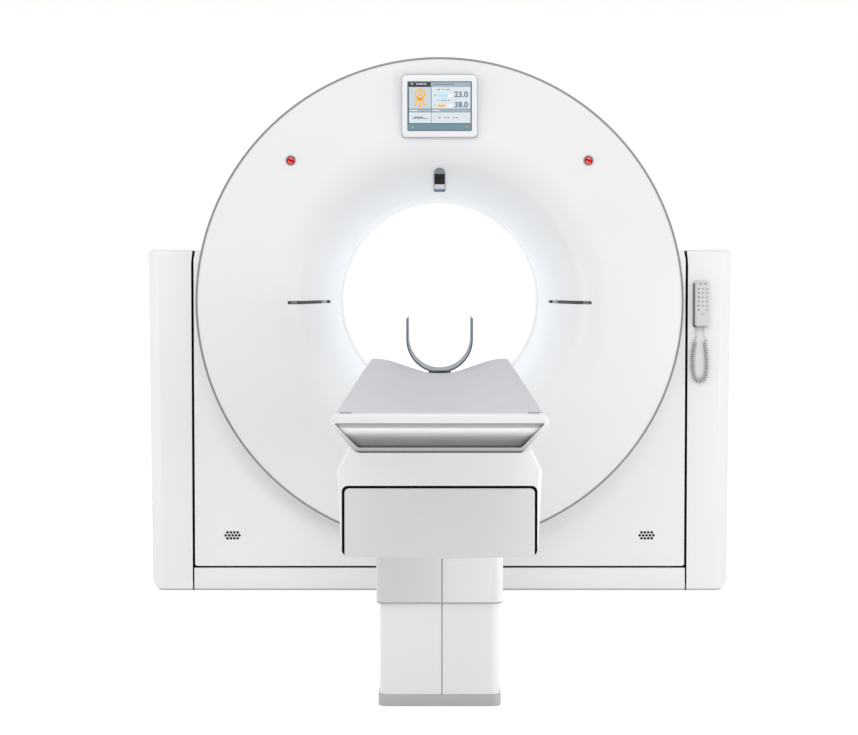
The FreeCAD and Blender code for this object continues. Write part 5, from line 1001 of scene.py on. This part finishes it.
# ---- handset --------------------------------------------------------------------------------------------
HANDSET_LEFT = 0.8775
HANDSET_RIGHT = 0.9293
HANDSET_FRONT_Y = -0.330
HANDSET_BACK_Y = -0.304
HANDSET_MID_X = (HANDSET_LEFT + HANDSET_RIGHT) / 2
HANDSET_LOW_Z = 0.917
SHELF_LOW_Z = 0.913
KEY_STEP_X = 0.0142
KEY_STEP_Z = 0.0145
KEY_TOP_Z = 1.046
NO_KEY = ((5, 0), (6, -1), (6, 1))      # row and column


def on_base(name, look, limits, ends, rounds, slot, *nodes):
    """Box that rides on the base."""
    block(name, look, limits, ends, rounds, "base", slot, *nodes)


def handset():
    """Hand control with its key marks, hung on a holder plate."""
    front_y = HANDSET_FRONT_Y
    on_base("handset_body", "handset_white", (HANDSET_LEFT, HANDSET_RIGHT, HANDSET_LOW_Z, 1.071, 0.009),
            (front_y, HANDSET_BACK_Y), (0.0045, 0.003), "handset_white", "handset")
    on_base("handset_seam", "holder_grey", (HANDSET_LEFT - 0.0002, HANDSET_RIGHT + 0.0002, 0.9168, 1.0712, 0.0092),
            (-0.3172, -0.3164), (), "handset_white")
    keys = [(HANDSET_MID_X + column * KEY_STEP_X, KEY_TOP_Z - row * KEY_STEP_Z)
            for row in range(7) for column in (-1, 0, 1) if (row, column) not in NO_KEY]
    for i, (x, z) in enumerate(keys):
        on_base("handset_key_%02d" % i, "key_pale", (x - 0.0046, x + 0.0046, z - 0.0038, z + 0.0038, 0.0018),
                (front_y - 0.0008, front_y + 0.001), (0.0006,), "handset_white")
        mark = rounded_prism("handset_mark_%02d" % i, "handset_print_and_shade",
                             disc_section(x, z, 0.0022 if i % 3 else 0.0029, 12), front_y - 0.0010, front_y, 0.0002)
        place(mark, "base", "handset_white")
    on_base("handset_speaker", "key_pale", (HANDSET_MID_X - 0.013, HANDSET_MID_X + 0.013, 1.0605, 1.0655, 0.0024),
            (front_y - 0.0004, front_y + 0.001), (0.0003,), "handset_white")
    for i, x in enumerate((HANDSET_MID_X - 0.009, HANDSET_MID_X + 0.009)):
        on_base("handset_lamp_%d" % i, "slot_dark", (x - 0.0032, x + 0.0032, 1.0612, 1.0648, 0.0017),
                (front_y - 0.0009, front_y), (0.0003,), "handset_white")
    # holder plate in dark grey showing left of the body: painted shade of the handset's left side
    on_base("handset_plate", "handset_print_and_shade", (HANDSET_LEFT - 0.0048, HANDSET_MID_X + 0.0199, 0.9135, 1.066, 0.006),
            (HANDSET_BACK_Y, -0.2995), (0.001,), "holder_grey", "handset_holder")
    on_base("handset_shelf", "holder_grey",
            (HANDSET_MID_X - 0.0199, HANDSET_MID_X + 0.0020, SHELF_LOW_Z, HANDSET_LOW_Z, 0.001), (-0.320, -0.300),
            (0.0008,), "holder_grey")


handset()
for word, foot, top in (("handset", CORD_EXIT, HANDSET_LOW_Z), ("holder", CORD_END, SHELF_LOW_Z)):
    relief = strain_relief("cord_relief_" + word, foot, top)
    place(relief, "base", "cord_white", "cord_reliefs")
cord = spline("handset_curly_cord", curls(), 3, CORD_WIRE / 2)
cord.data.materials.append(LOOKS["cord_white"])
place(cord, "base", "cord_white", "handset_cord")

# ---- table ----------------------------------------------------------------------------------------------
SHELL_FRONT_Y = -2.850
SHELL_REAR_Y = -1.050
SHELL_CORNERS = ((-0.226, 0.466), (0.0, 0.461), (0.226, 0.466), (0.236, 0.666), (0.209, 0.715), (-0.209, 0.715),
                 (-0.236, 0.666))
SHELL_ROUNDS = (0.030, 1.5, 0.030, 0.020, 0.010, 0.010, 0.020)
MOUTH_HALF = 0.2248
MOUTH_TOP_Z = 0.6308
MOUTH_ROUND = 0.014
PANEL_HALF = 0.2190
PANEL_TOP_Z = 0.6250
PANEL_BACK_Y = -2.8375
PANEL_CORNERS = ((-PANEL_HALF, 0.4665), (0.0, 0.4617), (PANEL_HALF, 0.4665), (PANEL_HALF, PANEL_TOP_Z),
                 (-PANEL_HALF, PANEL_TOP_Z))
PANEL_ROUNDS = (0.005, 1.5, 0.005, 0.011, 0.011)
PEDESTAL_FRONT_Y = -2.268
PEDESTAL_REAR_Y = -1.442
PEDESTAL_HALF = 0.158
PEDESTAL_ROUND = 0.024
SEAM_X = 0.006
SEAM_HALF = 0.0009
SLEEVE_WALL = 0.003
SLEEVE_GROWTH = 0.005       # of the upper sleeve, over the foot's outline
WELL_TOP_Z = 0.700          # the table body is open up to here over the pedestal


def pedestal_section(growth, left=-1.0, right=1.0):
    """Outline of the pedestal, grown by a distance, between two limits in x."""
    left_x = max(-PEDESTAL_HALF - growth, left)
    right_x = min(PEDESTAL_HALF + growth, right)
    corners = ((left_x, PEDESTAL_FRONT_Y - growth), (right_x, PEDESTAL_FRONT_Y - growth),
               (right_x, PEDESTAL_REAR_Y + growth), (left_x, PEDESTAL_REAR_Y + growth))
    left_round = PEDESTAL_ROUND if left == -1.0 else 0.0015
    right_round = PEDESTAL_ROUND if right == 1.0 else 0.0015
    return section_of(corners, (left_round, right_round, right_round, left_round), 10)


def sleeve(name, growth, low, high, look, body, *nodes):
    """Two half covers with a narrow seam, open inside for the column; a black inner layer of the wall paints the shade
    seen through the seam.
    """
    def opening(wall):
        return rounded_prism("sleeve_cutter", "grille_black", pedestal_section(growth - wall), low - 0.01, high + 0.01,
                             lay=along_z)
    for word, left, right in (("left", -1.0, SEAM_X - SEAM_HALF), ("right", SEAM_X + SEAM_HALF, 1.0)):
        half = rounded_prism(name + "_" + word, look, pedestal_section(growth, left, right), low, high, 0.0008, 0.0008,
                             along_z, 30.0)
        cut(half, opening(SLEEVE_WALL / 2))
        place(half, body, "sleeve_white", *nodes)
    # black inner half of the wall: painted shade seen through the seam
    seam_shade_lining = rounded_prism(name + "_seam_shade", "grille_black", pedestal_section(growth - SLEEVE_WALL / 2), low + 0.002,
                         high - 0.002, lay=along_z)
    cut(seam_shade_lining, opening(SLEEVE_WALL))
    place(seam_shade_lining, body, "grille_black")


def table_body():
    """Body of the table with soft edges, a mouth for the end panel and a black lining in the gap that paints its shade.
    """
    shell = rounded_prism("table_body", "table_white", section_of(SHELL_CORNERS, SHELL_ROUNDS, 8), SHELL_FRONT_Y,
                          SHELL_REAR_Y, 0.010, 0.010, sharp=25.0)
    mouth = box_section(-MOUTH_HALF, MOUTH_HALF, 0.440, MOUTH_TOP_Z, MOUTH_ROUND)
    cut(shell, rounded_prism("mouth_cutter", "table_white", mouth, -2.87, -2.838))
    cut(shell, rounded_prism("well_cutter", "table_white", pedestal_section(SLEEVE_GROWTH + 0.001), 0.44, WELL_TOP_Z,
                             lay=along_z))
    place(shell, "table_top", "table_white", "table_shell")
    # black lining behind the end panel: painted shade of the gap round it
    block("table_gap_shade", "gap_black_painted_shade", (-MOUTH_HALF, MOUTH_HALF, 0.4685, MOUTH_TOP_Z, MOUTH_ROUND),
          (-2.8482, PANEL_BACK_Y), (), "table_top", "carbon_black")
    panel = rounded_prism("table_end_plate", "end_panel", section_of(PANEL_CORNERS, PANEL_ROUNDS), SHELL_FRONT_Y,
                          PANEL_BACK_Y, 0.0035)
    place(panel, "table_top", "table_white", "table_end_panel")


table_body()
sleeve("lower_sleeve", -0.0035, 0.0302, 0.400, "sleeve_white", "base", "lower_sleeves")
sleeve("upper_sleeve", SLEEVE_GROWTH, 0.270, 0.640, "sleeve_upper_painted_shade", "table_top", "upper_sleeve")
# wiper lip under the upper sleeve's edge; its dark grey also paints the shadow line below that edge
wiper = rounded_prism("sleeve_wiper", "edge_shade_grey", pedestal_section(SLEEVE_GROWTH - 0.0004), 0.2664, 0.2704, 0.0004,
                      lay=along_z)
cut(wiper, rounded_prism("sleeve_cutter", "edge_shade_grey", pedestal_section(-0.0022), 0.26, 0.28, lay=along_z))
place(wiper, "table_top", "sleeve_white")
foot = rounded_prism("table_foot", "foot_grey", pedestal_section(0.0), 0.0, 0.030, 0.0008, 0.003, along_z)
place(foot, "base", "foot_grey", "table_foot_cover")

# ---- cradle ---------------------------------------------------------------------------------------------
CAP_FRONT_Y = -3.450
CAP_REAR_Y = -3.404
CRADLE_REAR_Y = -0.985
CAP_CORNERS = ((-0.169, 0.7595), (0.169, 0.7595), (0.222, 0.820), (0.214, 0.837), (-0.214, 0.837), (-0.222, 0.820))
CAP_ROUNDS = (0.020, 0.020, 0.006, 0.005, 0.005, 0.006)
POCKET_CORNERS = ((-0.1655, 0.7700), (0.1655, 0.7700), (0.2138, 0.8200), (-0.2138, 0.8200))
POCKET_ROUNDS = (0.010, 0.010, 0.002, 0.002)
INSERT_LINE = ((0.0100, 0.8195), (0.0092, 0.8150), (0.0072, 0.8118), (0.0042, 0.8092), (0.0027, 0.8055),
               (0.0027, 0.8005), (0.0042, 0.7945), (0.0075, 0.7880), (0.0115, 0.7815), (0.0155, 0.7755),
               (0.0185, 0.7705))
INSERT_STEPS = 32           # across the insert
CRADLE_CORNERS = ((-0.171, 0.763), (0.171, 0.763), (0.222, 0.820), (0.2154, 0.834), (0.2143, 0.834),
                  (0.2143, 0.8245), (0.174, 0.8235), (0.039, 0.7785), (-0.039, 0.7785), (-0.174, 0.8235),
                  (-0.2143, 0.8245), (-0.2143, 0.834), (-0.2154, 0.834), (-0.222, 0.820))
CRADLE_ROUNDS = (0.020, 0.020, 0.006, 0.0004, 0.0004, 0.001, 0.150, 0.150, 0.150, 0.150, 0.001, 0.0004, 0.0004,
                 0.006)


def cap_half_width(z):
    """Half width of the foot cap's pocket at a height."""
    low, high = POCKET_CORNERS[1], POCKET_CORNERS[2]
    share = min(max((z - low[1]) / (high[1] - low[1]), 0.0), 1.0)
    return low[0] + (high[0] - low[0]) * share


def foot_cap():
    """White frame at the cradle's foot with a crested grey insert, both with painted shade by height and the insert
    with a painted highlight on its crest.
    """
    cap = rounded_prism("cradle_cap_frame", "cap_white_painted_shade", section_of(CAP_CORNERS, CAP_ROUNDS, 8), CAP_FRONT_Y,
                        CAP_REAR_Y, 0.004, sharp=30.0)
    cut(cap, rounded_prism("pocket_cutter", "cap_white_painted_shade", section_of(POCKET_CORNERS, POCKET_ROUNDS, 8), -3.46, -3.412))
    place(cap, "cradle", "cradle_white", "cradle_foot_cap")
    line = arcs(INSERT_LINE, (0.001,) * (len(INSERT_LINE) - 2), 3)
    vertices = []
    for p in line:
        half = cap_half_width(p.y) - 0.0009
        for k in range(INSERT_STEPS + 1):
            share = math.sin(math.pi / 2 * (2 * k / INSERT_STEPS - 1))
            edge = max(abs(share) - 0.93, 0.0) / 0.07
            vertices.append(Vector((half * share, CAP_FRONT_Y + p.x + 0.004 * edge ** 2, p.y)))
    count = INSERT_STEPS + 1
    faces = [(r * count + i, r * count + i + 1, (r + 1) * count + i + 1, (r + 1) * count + i)
             for r in range(len(line) - 1) for i in range(INSERT_STEPS)]
    insert = make_object("cradle_cap_insert", "inset_grey", vertices, faces, 50.0)
    solid = insert.modifiers.new("wall", "SOLIDIFY")
    solid.thickness = 0.0015
    solid.offset = -1.0
    place(insert, "cradle", "inset_grey", "cradle_cap_inset")


foot_cap()
tray = rounded_prism("cradle_tray", "cradle_white", section_of(CRADLE_CORNERS, CRADLE_ROUNDS, 8), CAP_REAR_Y,
                     CRADLE_REAR_Y, EDGE, 0.0002, sharp=30.0)
place(tray, "cradle", "cradle_white", "cradle")

# ---- mattress -------------------------------------------------------------------------------------------
PAD_HALF = 0.2138
PAD_LINE = ((-PAD_HALF, 0.8368), (-0.174, 0.8372), (-0.039, 0.7918), (0.039, 0.7918), (0.174, 0.8372),
            (PAD_HALF, 0.8368))
PAD_ROUND = 0.200
PAD_THICKNESS = 0.0125
PAD_LENGTH_STEPS = 300
PAD_WIDTH_STEPS = 64
PAD_END_GAP = 0.002
PAD_FOLD_Y = -3.33          # where a fold crosses the pad's middle
TAB_OUT_X = 0.204
TAB_IN_X = 0.180


def pad_height(line, x):
    """Height of the pad's top line at a place across it."""
    for p, q in zip(line, line[1:]):
        if p.x <= x <= q.x:
            return p.y + (q.y - p.y) * (x - p.x) / max(q.x - p.x, 1e-9)
    return line[-1].y


def mattress():
    """Thin soft pad in the cradle's trough, with rolled edges and faint creases."""
    line = arcs(PAD_LINE, (PAD_ROUND,) * 4, 12)
    rings = []
    for j in range(PAD_LENGTH_STEPS + 1):
        y = CAP_REAR_Y + PAD_END_GAP + (CRADLE_REAR_Y - CAP_REAR_Y - 2 * PAD_END_GAP) * (j / PAD_LENGTH_STEPS)
        end = min(y - CAP_REAR_Y, CRADLE_REAR_Y - y)
        end_drop = 0.006 * max(1 - end / 0.010, 0.0) ** 2
        top = []
        under = []
        for i in range(PAD_WIDTH_STEPS + 1):
            x = PAD_HALF * math.sin(math.pi / 2 * (2 * i / PAD_WIDTH_STEPS - 1))
            side_drop = 0.0022 * max(1 - (PAD_HALF - abs(x)) / 0.006, 0.0) ** 2
            crease = 0.0
            for scale, depth in ((2.2, 0.0011), (6.5, 0.0006)):
                crease += depth * mathutils.noise.noise(Vector((x * scale * 2.2 + 3.1, y * scale, 0.7 * scale)))
            fold = math.exp(-((y - PAD_FOLD_Y + 0.25 * abs(x)) / 0.02) ** 2) * 0.0012
            height = pad_height(line, x)
            top.append(Vector((x, y, height - max(side_drop, end_drop) + crease - fold)))
            under.append(Vector((x * 0.995, y, height - PAD_THICKNESS + min(side_drop, 0.003))))
        rings.append(top + under[::-1])
    pad = skin("mattress_pad", "mattress_grey", rings, 70.0)
    place(pad, "cradle", "mattress_grey", "mattress")
    for side, word in SIDES:
        block("mattress_tab_" + word, "strap_grey", (*sorted((side * TAB_OUT_X, side * TAB_IN_X)), 0.8328, 0.8386,
                                                     0.001),
              (CAP_REAR_Y + 0.0006, CAP_REAR_Y + 0.0070), (0.0006, 0.0006), "cradle", "mattress_grey")


mattress()

# ---- head holder ----------------------------------------------------------------------------------------
HOLDER_FRONT_Y = -0.955
HOLDER_REAR_Y = -0.715
HOLDER_R = 0.105
HOLDER_MID_Z = 0.895
HOLDER_TOP_Z = 0.962


def half_turn(x, z, radius_x, radius_z, steps):
    """Half a turn round a point, from its side; a negative radius mirrors it."""
    angles = [math.pi * k / steps for k in range(steps + 1)]
    return [Vector((x + radius_x * math.cos(angle), z + radius_z * math.sin(angle))) for angle in angles]


def bowl_line(outer, inner, steps=40):
    """Closed outline of a U between two radii, with round ends on its arms."""
    middle = (outer + inner) / 2
    round_r = (outer - inner) / 2
    top = HOLDER_TOP_Z - round_r
    return (half_turn(0.0, HOLDER_MID_Z, -outer, -outer, steps) + half_turn(middle, top, round_r, round_r, 8)
            + half_turn(0.0, HOLDER_MID_Z, inner, -inner, steps) + half_turn(-middle, top, round_r, round_r, 8))


# thin carbon bowl for the head with a foam liner: name, look, outer and inner radius, front and rear, replaced solid
for name, look, outer, inner, front_y, rear_y, *nodes in (
        ("head_holder_shell", "head_dark", HOLDER_R, HOLDER_R - 0.0035, HOLDER_FRONT_Y, HOLDER_REAR_Y, "head_holder"),
        ("head_holder_liner", "head_grey", HOLDER_R - 0.0032, HOLDER_R - 0.0062, HOLDER_FRONT_Y + 0.002,
         HOLDER_REAR_Y - 0.002)):
    points = bowl_line(outer, inner)
    rings = [along_y(points, y) for y in (front_y, (front_y + rear_y) / 2, rear_y)]
    place(skin(name, look, rings, 40.0), "cradle", "head_grey", *nodes)

# ---- floor, light and camera ----------------------------------------------------------------------------
FLOOR_HALF = 40.0


def seen_by(tree, *kinds):
    """One for rays of some kinds, zero for all others."""
    rays = add_node(tree, "LightPath")
    level = rays.outputs[kinds[0]]
    for kind in kinds[1:]:
        level = math_node(tree, "MAXIMUM", level, rays.outputs[kind])
    return level


def stage_floor():
    """Pale floor that looks white where nothing shades it."""
    mesh = bpy.data.meshes.new("floor")
    half = FLOOR_HALF
    mesh.from_pydata([(-half, -half, 0), (half, -half, 0), (half, half, 0), (-half, half, 0)], [], [(0, 1, 2, 3)])
    floor = add_object("floor", mesh)
    mat = bpy.data.materials.new("floor")
    mat.use_nodes = True
    tree = mat.node_tree
    shader = tree.nodes["Principled BSDF"]
    feed(tree, shader, {"Base Color": (0.8, 0.8, 0.8, 1), "Roughness": 0.9, "Specular IOR Level": 0.0})
    glow = add_node(tree, "Emission", {"Strength": seen_by(tree, "Is Camera Ray", "Is Glossy Ray"),
                                       "Color": (0.56, 0.56, 0.56, 1)})
    both = add_node(tree, "AddShader", {0: shader.outputs[0], 1: glow.outputs[0]})
    feed(tree, tree.nodes["Material Output"], {"Surface": both.outputs[0]})
    floor.data.materials.append(mat)


def studio_world(strength):
    """Even soft light, with a white background for the camera, reflections and clear materials."""
    world = bpy.data.worlds.new("studio")
    bpy.context.scene.world = world
    world.use_nodes = True
    tree = world.node_tree
    seen = seen_by(tree, "Is Camera Ray", "Is Glossy Ray", "Is Transmission Ray")
    feed(tree, tree.nodes["Background"], {"Color": (1, 1, 1, 1),
                                          "Strength": ranged(tree, seen, 0.0, 1.0, strength, 1.0)})


def soft_lamp(name, location, aim, size, power):
    """Square area lamp that faces a point."""
    data = bpy.data.lights.new(name, "AREA")
    data.size = size
    data.energy = power
    lamp = add_object(name, data)
    lamp.location = location
    lamp.rotation_euler = (Vector(aim) - Vector(location)).to_track_quat("-Z", "Y").to_euler()


stage_floor()
studio_world(0.69)
soft_lamp("key", (0.2, -6.6, 4.6), (0, -0.8, 0.9), 3.0, 84.0)
soft_lamp("fill", (-2.8, -4.4, 4.0), (-0.5, -0.4, 1.2), 2.5, 24.0)
soft_lamp("low_right", (3.0, -4.6, 0.3), (0.2, -2.0, 0.2), 1.6, 46.0)
soft_lamp("side_right", (5.0, -1.8, 1.0), (0.6, -1.2, 0.6), 2.5, 38.0)
soft_lamp("side_left", (-5.0, -2.2, 1.2), (-0.7, -1.2, 0.7), 2.5, 44.0)

camera_data = bpy.data.cameras.new("camera")
camera_data.sensor_width = 36.0
camera_data.sensor_fit = "HORIZONTAL"
camera_data.lens = 92.17
camera_data.shift_x = -0.01235
camera = add_object("camera", camera_data)
camera.location = (0.0, -7.87, 1.155)
camera.rotation_euler = (math.radians(90.0 - 2.88), 0.0, 0.0)
bpy.context.scene.camera = camera
bpy.context.scene.view_settings.view_transform = "Standard"
